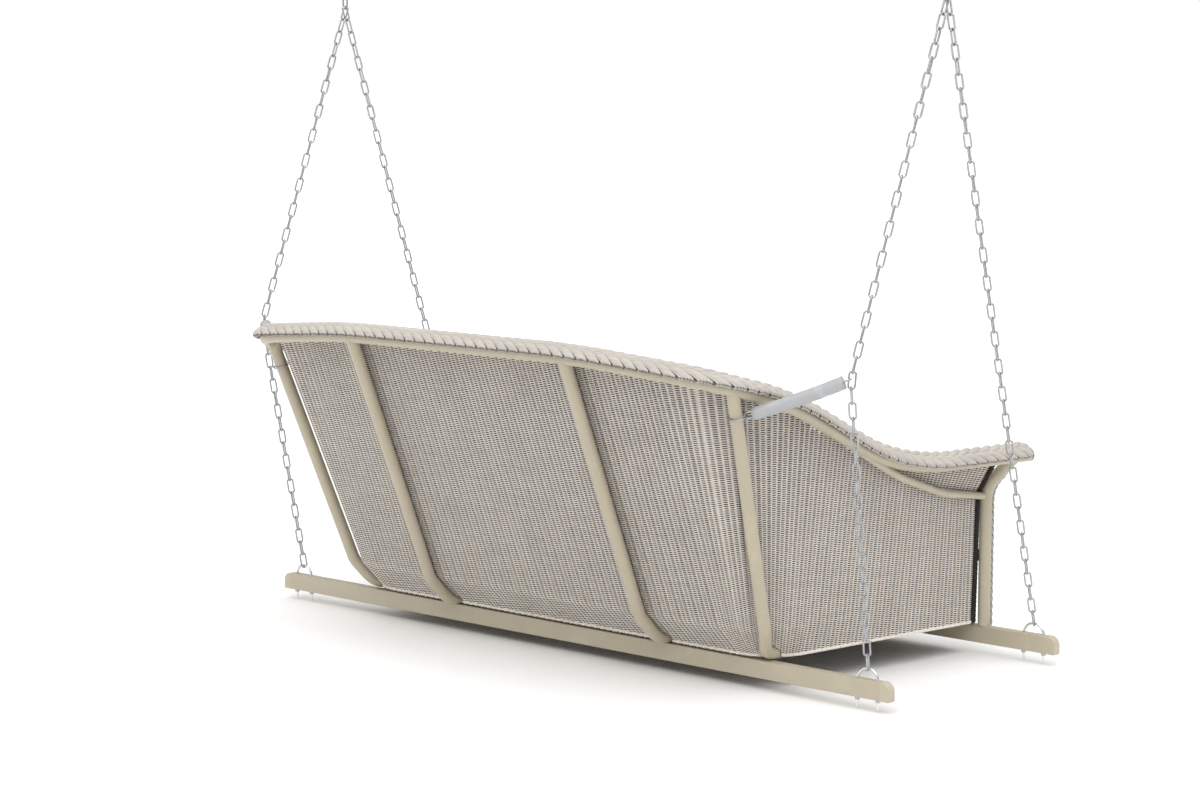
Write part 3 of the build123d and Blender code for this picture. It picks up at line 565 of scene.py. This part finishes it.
class TubeLine:
    """A bent tube's middle line with rounded corners, and the braid's directions along it."""

    def __init__(self, corners, radii, roll, step=0.004):
        self.points = self.rounded([Vector(c) for c in corners], radii, step)
        steps = np.linalg.norm(np.diff(self.points, axis=0), axis=1)
        self.lengths = np.concatenate([[0.0], np.cumsum(steps)])
        self.length = self.lengths[-1]
        ahead = np.gradient(self.points, self.lengths, axis=0)
        ahead /= np.linalg.norm(ahead, axis=1)[:, None]
        frames = [roll(Vector(p), Vector(a)) for p, a in zip(self.points, ahead)]
        self.across = np.array([f[0] for f in frames])
        self.crown = np.array([f[1] for f in frames])

    @staticmethod
    def rounded(corners, radii, step):
        """Straight runs joined by arcs of the bending radii."""
        line = [corners[0]]
        for before, corner, after, radius in zip(corners, corners[1:], corners[2:], radii):
            back, on = (before - corner).normalized(), (after - corner).normalized()
            half = back.angle(on) / 2
            start = corner + back * (radius / math.tan(half))
            end = corner + on * (radius / math.tan(half))
            centre = corner + (back + on).normalized() * (radius / math.sin(half))
            sweep = math.pi - 2 * half
            count = max(2, int(radius * sweep / step))
            axis = (start - centre).cross(end - centre).normalized()
            arc = [centre + Matrix.Rotation(sweep * k / count, 3, axis) @ (start - centre)
                   for k in range(count + 1)]
            run = (start - line[-1]).length
            pieces = max(1, int(run / step))
            line += [line[-1].lerp(start, k / pieces) for k in range(1, pieces)] + arc
        run = (corners[-1] - line[-1]).length
        pieces = max(1, int(run / step))
        line += [line[-1].lerp(corners[-1], k / pieces) for k in range(1, pieces + 1)]
        return np.array([list(p) for p in line])

    def place(self, flat):
        """Flat (along, across, height above the tube's middle) coordinates to points round the tube."""
        s = flat[:, 0]

        def at(table):
            return np.stack([np.interp(s, self.lengths, table[:, k]) for k in range(3)], axis=1)

        result = at(self.points) + at(self.across) * flat[:, 1:2] + at(self.crown) * flat[:, 2:3]
        return result + np.array(ORIGIN)


def top_roll(point, ahead):
    """The braid leans outwards, more along the arms than across the back."""
    lean_back, lean_arm, split_y, dip_y = 22.0, 34.0, 0.560, 0.034
    forward = min(1.0, max(0.0, (split_y - point.y) / (split_y - dip_y)))
    roll = math.radians(lean_back + (lean_arm - lean_back) * forward)
    side = ahead.cross(Vector((0, 0, 1))).normalized()
    side = side if side.dot(Vector((point.x * 0.4, point.y, 0))) > 0 else -side
    up = side.cross(ahead).normalized()
    up = up if up.z > 0 else -up
    return side * math.cos(roll) - up * math.sin(roll), up * math.cos(roll) + side * math.sin(roll)


def front_roll(point, ahead):
    crown = Vector((0, -1, 0))
    return ahead.cross(crown).normalized(), crown


# ---------------------------------------------------------------- weave
def weave_tile(size):
    """Two rows round two stakes, flat: X across the stakes, Y along them, Z through the weave."""
    weave = bpy.context.scene.swing_weave
    s, t = size * weave.stake_pitch, size * weave.row_pitch
    bm = bmesh.new()
    for row, start in enumerate((1, -1)):
        y = (row + 0.5) * t
        waves = [(k * s, y, start * weave.relief * (1, -1, 1)[k]) for k in range(3)]
        strand(bm, waves, [(size * weave.row_height / 2, weave.row_depth / 2)] * 3, WEFT_SIDES)
    for x in (0, s):
        strand(bm, [(x, 0, 0), (x, 2 * t, 0)], [(size * weave.stake_width / 2, weave.stake_depth / 2)] * 2,
               STAKE_SIDES, 1)
    return finished_mesh(bm, "weave tile")


def liner(surface, start, length, t_from, height):
    """Thin dark sheet in the middle of the weave, between its two faces: painted shade seen through the gaps."""
    columns, rows = max(1, round(length / SHADE_SHEET_CELL[0])), max(1, round(height / SHADE_SHEET_CELL[1]))
    bm = bmesh.new()
    place = Matrix.Translation((start + length / 2, t_from + height / 2, 0)) @ Matrix.Diagonal(
        (length / 2, height / 2, 1, 1))
    bmesh.ops.create_grid(bm, x_segments=columns, y_segments=rows, size=1.0, matrix=place)
    bmesh.ops.solidify(bm, geom=bm.faces[:], thickness=SHADE_SHEET_THICKNESS)
    for face in bm.faces:
        face.material_index = 2
    return laid(finished_mesh(bm, "liner"), surface.place)


def woven(surface, s_from, s_to, t_from, t_to, size=1):
    """Weave over part of a surface, starting on a whole stake and row."""
    weave = bpy.context.scene.swing_weave
    wide, tall = 2 * size * weave.stake_pitch, 2 * size * weave.row_pitch
    first, last = round((s_from - surface.s0) / wide), round((s_to - surface.s0) / wide)
    rows = math.ceil((t_to - t_from) / tall)
    mesh = repeated(weave_tile(size), (last - first, rows), (wide, tall))
    start = surface.s0 + first * wide
    mesh.transform(Matrix.Translation((start, t_from, 0)))
    # The dark sheet is painted shade behind the weave's gaps.
    shade_sheet_mesh = liner(surface, start, (last - first) * wide, t_from, rows * tall)
    return joined([laid(mesh, surface.place), shade_sheet_mesh])


def rope_tile(radius, pitch):
    """One turn of three fibres twisted together, along X."""
    sides, count, turns = 5, 3, 6
    bm = bmesh.new()
    for k in range(count):
        start = 2 * math.pi * k / count
        line = []
        for i in range(turns + 1):
            angle = start + 2 * math.pi * i / turns
            line.append((pitch * i / turns, radius * math.cos(angle), radius * math.sin(angle)))
        strand(bm, line, [(radius * 0.85, radius * 0.85)] * (turns + 1), sides)
    return finished_mesh(bm, "rope tile")


def edge_rope(surface, start, length, along_stakes, at, radius=0.0024, pitch=0.021):
    """A twisted edge along a row (or along a stake) of a surface."""
    count = max(1, round(length / pitch))
    mesh = repeated(rope_tile(radius, length / count), (count,), (length / count,))
    flat = coordinates(mesh)
    placed = np.stack([flat[:, 1] + at, flat[:, 0] + start, flat[:, 2]] if along_stakes else
                      [flat[:, 0] + start, flat[:, 1] + at, flat[:, 2]], axis=1)
    mesh.vertices.foreach_set("co", placed.ravel())
    return laid(mesh, surface.place)


def joined(meshes, turned_out=False):
    """Several meshes as one, with their faces turned outwards if asked."""
    bm = bmesh.new()
    for mesh in meshes:
        bm.from_mesh(mesh)
    if turned_out:
        return finished_mesh(bm, "joined")
    result = bpy.data.meshes.new("joined")
    bm.to_mesh(result)
    bm.free()
    return result


def even_feet(nodes):
    """Distances round the shell at mid height, and round its foot, of the same upright sections."""
    walls = wall_trees(nodes)
    feet, middles = [], []
    for foot in np.arange(0.0, FOOT_LENGTH, 0.004):
        hit = Surface.wall_at(walls, *shell_ray(foot, EVEN_HEIGHT))
        if hit:
            feet.append(foot)
            middles.append(np.array(hit[0]))
    steps = np.linalg.norm(np.diff(middles, axis=0), axis=1)
    return np.concatenate([[0.0], np.cumsum(steps)]), np.array(feet)


def shell_surface():
    """The whole shell as one surface, so that the rows run through its corners.

    Distances across it are measured at mid height, which spaces the stakes evenly round the corners.
    """
    weave = bpy.context.scene.swing_weave
    ds, dt = weave.stake_pitch / 2, weave.row_pitch
    nodes = ["back_centre_panel", "left_back_panel", "left_side_panel"]
    round_middle, round_foot = even_feet(nodes)
    length = round_middle[-1]
    half = 4 * math.ceil(length / (4 * ds))
    slope = (round_foot[-1] - round_foot[-9]) / (round_middle[-1] - round_middle[-9])

    def ray(s, height):
        beyond = max(0.0, s - length)
        return shell_ray(np.interp(s, round_middle, round_foot) + beyond * slope, height)

    rows = int((WALL_TOP - WALL_BOTTOM) / dt)
    surface = Surface(nodes, ray, (0.0, ds, half + 1), (WALL_BOTTOM, dt, rows))
    for table in (surface.points, surface.normals):
        bridge_gaps(table)
    edge = np.flatnonzero(~np.isnan(surface.points[:, 8, 0]))[-1]
    for i in range(edge + 1, min(edge + 2, half) + 1):
        surface.points[i] = 2 * surface.points[i - 1] - surface.points[i - 2]
        surface.normals[i] = surface.normals[edge - 2]
    mirror = np.array([-1.0, 1.0, 1.0])
    surface.points = np.concatenate([surface.points[:0:-1] * mirror, surface.points])
    surface.normals = np.concatenate([surface.normals[:0:-1] * mirror, surface.normals])
    surface.s0 = -half * ds
    surface.edge = edge * ds
    return surface


def bridge_gaps(table):
    """Fills a single missing column where two panels meet."""
    for i in range(1, table.shape[0] - 1):
        missing = np.isnan(table[i]).any(axis=1) & ~np.isnan(table[i - 1] + table[i + 1]).any(axis=1)
        table[i][missing] = (table[i - 1] + table[i + 1])[missing] / 2


_shell = {}


def shell():
    if "surface" not in _shell:
        _shell["surface"] = shell_surface()
    return _shell["surface"]


class SWING_OT_back_weave(bpy.types.Operator):
    """Weaves the back of the shell in two halves"""
    bl_idname = "swing.back_weave"
    bl_label = "Back weave"

    def execute(self, context):
        surface = shell()
        top = WALL_TOP - 2 * surface.dt
        for side, sign in SIDES:
            ends = sorted((0.0, sign * SIDE_SPLIT))
            mesh = woven(surface, ends[0], ends[1], WALL_BOTTOM, top)
            new_piece(f"{side}_back_weave", mesh, weave_materials(), ["back_centre_panel", side + "_back_panel"])
        return {"FINISHED"}


class SWING_OT_side_weave(bpy.types.Operator):
    """Weaves the rounded corners and sides of the shell"""
    bl_idname = "swing.side_weave"
    bl_label = "Side weave"

    def execute(self, context):
        surface = shell()
        end = -surface.s0
        for side, sign in SIDES:
            ends = sorted((sign * SIDE_SPLIT, sign * end))
            mesh = woven(surface, ends[0], ends[1], WALL_BOTTOM, WALL_TOP - 2 * surface.dt)
            new_piece(f"{side}_side_weave", mesh, weave_materials(), [side + "_side_panel", side + "_back_panel"])
        return {"FINISHED"}


class SWING_OT_seat_weave(bpy.types.Operator):
    """Weaves the seat deck and the apron under its front edge"""
    bl_idname = "swing.seat_weave"
    bl_label = "Seat weave"

    def execute(self, context):
        weave = context.scene.swing_weave
        ds, dt = weave.stake_pitch / 2, SEAT_ROW_STEP
        low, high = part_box("seat_deck")
        half = 4 * int(high.x / (4 * ds))
        rows = int((high.y - low.y) / dt)

        def down(s, t):
            return Vector((s, low.y + t, high.z + 0.05)), Vector((s, low.y + t, low.z - 0.05))

        deck = Surface(["seat_deck"], down, (-half * ds, ds, 2 * half + 1), (0.0, dt, rows), folds=0)
        for side, sign in SIDES:
            ends = sorted((0.0, sign * half * ds))
            mesh = woven(deck, ends[0], ends[1], 0.0, (rows - 2) * dt, HIDDEN_WEAVE_SIZE)
            new_piece(f"{side}_seat_weave", mesh, weave_materials(), ["seat_deck"])
        low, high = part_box("front_apron")
        half = 4 * int(high.x / (4 * ds))
        rows = int((high.z - low.z) / dt)

        def back(s, t):
            return Vector((s, low.y - 0.05, low.z + t)), Vector((s, high.y + 0.05, low.z + t))

        apron = Surface(["front_apron"], back, (-half * ds, ds, 2 * half + 1), (0.0, dt, rows + 1), folds=0)
        mesh = woven(apron, -half * ds, half * ds, 0.0, (rows - 1) * dt, HIDDEN_WEAVE_SIZE)
        edges = [edge_rope(apron, -half * ds, 2 * half * ds, False, at) for at in (2 * dt, (rows - 1) * dt)]
        new_piece("apron_weave", joined([mesh] + edges), weave_materials(), ["front_apron"])
        return {"FINISHED"}


class SWING_OT_shell_edges(bpy.types.Operator):
    """Twists the rolled edge round the shell's foot, and up its front ends a dark rope that is painted shade in the
    gap there
    """
    bl_idname = "swing.shell_edges"
    bl_label = "Shell edges"

    def execute(self, context):
        surface = shell()
        end = surface.edge + 0.004
        foot = edge_rope(surface, -end, 2 * end, False, WALL_BOTTOM + 0.0035, radius=FOOT_ROPE_RADIUS)
        shade_rope_offset = surface.edge + SHADE_ROPE_PAST_EDGE
        fronts = [edge_rope(surface, WALL_BOTTOM + 0.003, SHADE_ROPE_LENGTH, True, sign * shade_rope_offset, SHADE_ROPE_RADIUS,
                            SHADE_ROPE_PITCH) for _, sign in SIDES]
        # Painted shade: the front-end ropes take the near-black material 2.
        for mesh in fronts:
            mesh.polygons.foreach_set("material_index", [2] * len(mesh.polygons))
        new_piece("shell_edge", joined([foot] + fronts), weave_materials(),
                  ["left_side_panel", "right_side_panel", "back_centre_panel"])
        return {"FINISHED"}


# ---------------------------------------------------------------- braid
def plait_tile(half_width, crown, drop, pitch, slant, strands, radius):
    """One chevron: leaf-shaped limbs of side-by-side fibres that come up at the ridge and round each edge."""
    bm = bmesh.new()
    shares = (-0.20, 0.02, 0.22, 0.44, 0.66, 0.84, 0.96, 1.0, 0.90)
    sinks = (0.0075, 0.0022, 0.0, 0.0, 0.0, 0.0003, 0.0018, 0.0048, 0.0085)
    for sign, shift in ((1, 0.0), (-1, 0.5)):
        for k in range(strands):
            place = (k + 0.5) / strands
            round_off = 1 - math.sqrt(1 - (2 * place - 1) ** 2)
            line = []
            for share, sink in zip(shares, sinks):
                w = half_width * share * (1 - 0.14 * round_off * max(0.0, share))
                h = crown - radius - drop * share ** 2 - sink - 0.17 * pitch * round_off
                narrow = 1 - 0.25 * abs(share - 0.4)
                along = ((place - 0.5) * 0.92 * narrow + 0.5 + shift) * pitch + slant * min(share, 1.0)
                line.append((along, sign * w, h))
            strand(bm, line, [(radius, radius * 0.9)] * len(line), 5)
    return finished_mesh(bm, "plait tile")


def core_tile(half_width, crown, drop, pitch):
    """Packing under the plait, a flattened ring that droops at its edges; its dark colour is painted shade under
    the braid.
    """
    bm = bmesh.new()
    middle, half = (crown + TUBE_RADIUS) / 2 - 0.004, (crown - TUBE_RADIUS) / 2 - 0.0045
    strand(bm, [(0, 0, middle), (pitch, 0, middle)], [(half_width * 0.80, half)] * 2, 14, 1)
    for vert in bm.verts:
        vert.co.z -= drop * (vert.co.y / half_width) ** 2
    return finished_mesh(bm, "core tile")


def braided(line, start, end, half_width, crown, drop, slant, pitch, strands, radius, round_start, round_end):
    """Plait along part of a tube line; a rounded end shrinks to a close."""
    count = round((end - start) / pitch)
    step = (end - start) / count
    parts = []
    for tile in (plait_tile(half_width, crown, drop, step, slant, strands, radius),
                 core_tile(half_width, crown, drop, step)):
        mesh = repeated(tile, (count,), (step,))
        flat = coordinates(mesh)
        flat[:, 0] += start
        write_strand_uv(mesh, flat)
        for is_round, distance in ((round_start, flat[:, 0] - start), (round_end, end - flat[:, 0])):
            if is_round:
                share = np.clip(distance / ROUNDED_END, 0.02, 1.0)
                shrink = np.sqrt(1 - (1 - share) ** 2)
                flat[:, 1] *= shrink
                flat[:, 2] = TUBE_RADIUS + (flat[:, 2] - TUBE_RADIUS) * shrink
        low, high = start if round_start else 0.0, end if round_end else line.length
        flat[:, 0] = np.clip(flat[:, 0], low, high)
        mesh.vertices.foreach_set("co", line.place(flat).ravel())
        parts.append(mesh)
    return joined(parts, turned_out=True)


_tube = {}


def top_line():
    if "top" not in _tube:
        half = list(TOP_CORNERS)
        mirrored = [(-x, y, z) for x, y, z in half][::-1]
        _tube["top"] = TubeLine(mirrored + half, TOP_RADII[::-1] + TOP_RADII, top_roll)
    return _tube["top"]


def top_plait(name, start, end, nodes, round_start, round_end):
    braid = bpy.context.scene.swing_braid
    mesh = braided(top_line(), start, end, braid.half_width, braid.crown, PLAIT_DROP, braid.slant, braid.pitch,
                   braid.strands, PLAIT_FIBRE, round_start, round_end)
    new_piece(name, mesh, braid_materials(), nodes)


class SWING_OT_back_braid(bpy.types.Operator):
    """Plaits the braid along the top of the back"""
    bl_idname = "swing.back_braid"
    bl_label = "Back braid"

    def execute(self, context):
        top_plait("back_plait", ARM_LENGTH, top_line().length - ARM_LENGTH, ["back_braid"], False, False)
        return {"FINISHED"}


class SWING_OT_arm_braids(bpy.types.Operator):
    """Plaits the braids along both arms to their rounded ends"""
    bl_idname = "swing.arm_braids"
    bl_label = "Arm braids"

    def execute(self, context):
        end = top_line().length
        top_plait("right_arm_plait", ARM_TIP_GAP, ARM_LENGTH, ["right_arm_braid"], True, False)
        top_plait("left_arm_plait", end - ARM_LENGTH, end - ARM_TIP_GAP, ["left_arm_braid"], False, True)
        return {"FINISHED"}


class SWING_OT_post_braids(bpy.types.Operator):
    """Plaits the narrow braids down the front posts"""
    bl_idname = "swing.post_braids"
    bl_label = "Post braids"

    def execute(self, context):
        for side, sign in SIDES:
            corners = [(sign * x, y, z) for x, y, z in (POST_FOOT, POST_BEND, POST_TOP)]
            line = TubeLine(corners, (POST_BEND_RADIUS,), front_roll)
            end = line.length - POST_PLAIT_TO_TUBE
            mesh = braided(line, POST_PLAIT_FOOT, end, *POST_PLAIT, False, True)
            new_piece(f"{side}_post_plait", mesh, braid_materials(), [side + "_post_braid"])
        return {"FINISHED"}


# ---------------------------------------------------------------- sleeves and frame finishes
class SWING_OT_sleeves(bpy.types.Operator):
    """Draws the soft clear sleeves over the stay chains"""
    bl_idname = "swing.sleeves"
    bl_label = "Stay sleeves"

    def execute(self, context):
        outer, wall, sag, rings = 0.0155, 0.0020, 0.0028, 22
        for side, sign in SIDES:
            node = side + "_stay_sleeve"
            points = coordinates(NODES[node].data)
            middle = points.mean(axis=0)
            axis = Vector(np.linalg.svd(points - middle, full_matrices=False)[2][0])
            reach = np.abs((points - middle) @ np.array(axis)).max()
            down = (Vector((0, 0, -1)) + axis * axis.z).normalized()
            bm = bmesh.new()
            for radius in (outer, outer - wall):
                line = []
                for k in range(rings + 1):
                    share = 2 * k / rings - 1
                    droop = down * (sag * (1 - share * share) - sag * 0.5)
                    line.append(Vector(middle) + axis * (reach * share) + droop)
                flare = [radius * (1 + 0.02 * math.sin(k * 1.7) + (0.03 if k in (0, rings) else 0))
                         for k in range(rings + 1)]
                strand(bm, line, [(r, r) for r in flare], 28)
            bmesh.ops.bridge_loops(bm, edges=[e for e in bm.edges if e.is_boundary and
                                              (e.verts[0].co - Vector(middle)).dot(axis) > 0])
            bmesh.ops.bridge_loops(bm, edges=[e for e in bm.edges if e.is_boundary])
            mesh = finished_mesh(bm, node)
            new_piece(f"{side}_sleeve_skin", mesh, [vinyl_material()], [node])
        return {"FINISHED"}


class SWING_OT_frame_finish(bpy.types.Operator):
    """Gives the rails, tubes, chains and hardware their finishes"""
    bl_idname = "swing.frame_finish"
    bl_label = "Frame finish"

    def execute(self, context):
        finish = context.scene.swing_finish
        paint, zinc = tuple(finish.paint), tuple(finish.zinc)
        worn = scaled(paint, 1.10)
        powder = coated_material("Powder coat", paint, worn, 0.42, 0.16, grain=900.0, bump=0.10, coat=0.15)
        ends = coated_material("Powder coat on castings", worn, paint, 0.5, 0.16, grain=700.0, bump=0.14)
        plated = coated_material("Zinc plate", zinc, scaled(zinc, 0.7), 0.30, 0.3, metallic=1.0, grain=500.0,
                                 marks=60.0, bump=0.12)
        bright = coated_material("Bright plate", (0.78, 0.79, 0.80, 1), (0.62, 0.63, 0.65, 1), 0.13, 0.12,
                                 metallic=1.0, grain=300.0, marks=40.0, bump=0.04)
        strap = coated_material("Galvanised strap", (0.42, 0.43, 0.44, 1), (0.55, 0.56, 0.56, 1), 0.45, 0.3,
                                metallic=1.0, grain=200.0, marks=30.0, bump=0.1)
        plug = coated_material("Moulded plug", (0.03, 0.03, 0.03, 1), (0.05, 0.05, 0.05, 1), 0.5, 0.2, bump=0.1)
        words = (("chain", plated), ("joining", plated), ("hoop", plated), ("hook", plated), ("u_bolts", bright),
                 ("nuts", plated), ("washers", plated), ("straps", strap), ("plugs", plug), ("caps", ends))
        for name, node in NODES.items():
            material = next((m for word, m in words if word in name), powder)
            node.data.materials.clear()
            node.data.materials.append(material)
        return {"FINISHED"}


# ---------------------------------------------------------------- stage
class SWING_OT_stage(bpy.types.Operator):
    """Sets the floor, backdrop, lights and camera"""
    bl_idname = "swing.stage"
    bl_label = "Stage"

    def execute(self, context):
        scene = context.scene
        colour = tuple(scene.swing_finish.floor)
        material, tree, shader = new_material("Studio floor")
        where = add_node(tree, "ShaderNodeTexCoord")
        noise = add_node(tree, "ShaderNodeTexNoise", Vector=where.outputs["Object"], Scale=3.0, Detail=2.0)
        tree.links.new(mix_colours(tree, noise.outputs["Fac"], colour, scaled(colour, 0.985)),
                       shader.inputs["Base Color"])
        shader.inputs["Roughness"].default_value = 0.9
        shader.inputs["Specular IOR Level"].default_value = 0.1
        bm = bmesh.new()
        bmesh.ops.create_grid(bm, x_segments=1, y_segments=1, size=40.0,
                              matrix=Matrix.Translation((0, 0, -0.004)))
        mesh = bpy.data.meshes.new("studio_floor")
        bm.to_mesh(mesh)
        bm.free()
        mesh.materials.append(material)
        floor = bpy.data.objects.new("studio_floor", mesh)
        scene.collection.objects.link(floor)
        self.add_lights(scene)
        self.add_camera(scene)
        scene.view_settings.view_transform = "Standard"
        return {"FINISHED"}

    @staticmethod
    def add_lights(scene):
        """A white surround to the eye, and a softly graded one for light and reflections, with one broad sun."""
        world = bpy.data.worlds.new("studio")
        world.use_nodes = True
        tree = world.node_tree
        way = add_node(tree, "ShaderNodeTexCoord").outputs["Generated"]
        height = add_node(tree, "ShaderNodeSeparateXYZ", Vector=way).outputs["Z"]
        graded = add_node(tree, "ShaderNodeMapRange", Value=height, From_Min=-0.05, From_Max=0.75, To_Min=0.27,
                          To_Max=1.0).outputs[0]
        seen = add_node(tree, "ShaderNodeLightPath").outputs["Is Camera Ray"]
        strength = add_node(tree, "ShaderNodeMix", _0=seen, _2=graded, _3=1.0).outputs[0]
        tree.links.new(strength, tree.nodes["Background"].inputs["Strength"])
        tree.nodes["Background"].inputs["Color"].default_value = (1, 1, 1, 1)
        scene.world = world
        data = bpy.data.lights.new("sun", "SUN")
        data.energy, data.angle = 1.6, math.radians(60)
        sun = bpy.data.objects.new("sun", data)
        sun.rotation_euler = Vector((0.30, -0.42, -1.0)).to_track_quat("-Z", "Y").to_euler()
        scene.collection.objects.link(sun)

    @staticmethod
    def add_camera(scene):
        data = bpy.data.cameras.new("camera")
        data.lens, data.sensor_width = CAMERA_LENS, 36.0
        data.clip_end = 200.0
        camera = bpy.data.objects.new("camera", data)
        yaw, pitch = math.radians(CAMERA_YAW), math.radians(CAMERA_PITCH)
        ahead = Vector((math.sin(yaw) * math.cos(pitch), -math.cos(yaw) * math.cos(pitch), -math.sin(pitch)))
        camera.location = ORIGIN + Vector(CAMERA_PLACE)
        camera.rotation_euler = ahead.to_track_quat("-Z", "Y").to_euler()
        scene.collection.objects.link(camera)
        scene.camera = camera


# ---------------------------------------------------------------- panel and registration
STEPS = (SWING_OT_stage, SWING_OT_frame_finish, SWING_OT_back_weave, SWING_OT_side_weave, SWING_OT_seat_weave,
         SWING_OT_shell_edges, SWING_OT_back_braid, SWING_OT_arm_braids, SWING_OT_post_braids, SWING_OT_sleeves)


class SWING_PT_panel(bpy.types.Panel):
    """Lists the swing's pieces in the sidebar"""
    bl_idname = "SWING_PT_panel"
    bl_label = "Porch swing"
    bl_space_type = "VIEW_3D"
    bl_region_type = "UI"
    bl_category = "Swing"

    def draw(self, context):
        for group in (context.scene.swing_weave, context.scene.swing_braid, context.scene.swing_finish):
            for name in group.bl_rna.properties.keys():
                if name not in ("rna_type", "name"):
                    self.layout.prop(group, name)
        for step in STEPS:
            self.layout.operator(step.bl_idname)


CLASSES = (SwingWeave, SwingBraid, SwingFinish, *STEPS, SWING_PT_panel)


def register():
    for cls in CLASSES:
        bpy.utils.register_class(cls)
    bpy.types.Scene.swing_weave = PointerProperty(type=SwingWeave)
    bpy.types.Scene.swing_braid = PointerProperty(type=SwingBraid)
    bpy.types.Scene.swing_finish = PointerProperty(type=SwingFinish)


def unregister():
    del bpy.types.Scene.swing_finish
    del bpy.types.Scene.swing_braid
    del bpy.types.Scene.swing_weave
    for cls in reversed(CLASSES):
        bpy.utils.unregister_class(cls)


def main():
    register()
    for step in STEPS:
        group, name = step.bl_idname.split(".")
        getattr(getattr(bpy.ops, group), name)()
    bpy.context.view_layer.update()


if __name__ == "__main__":
    main()
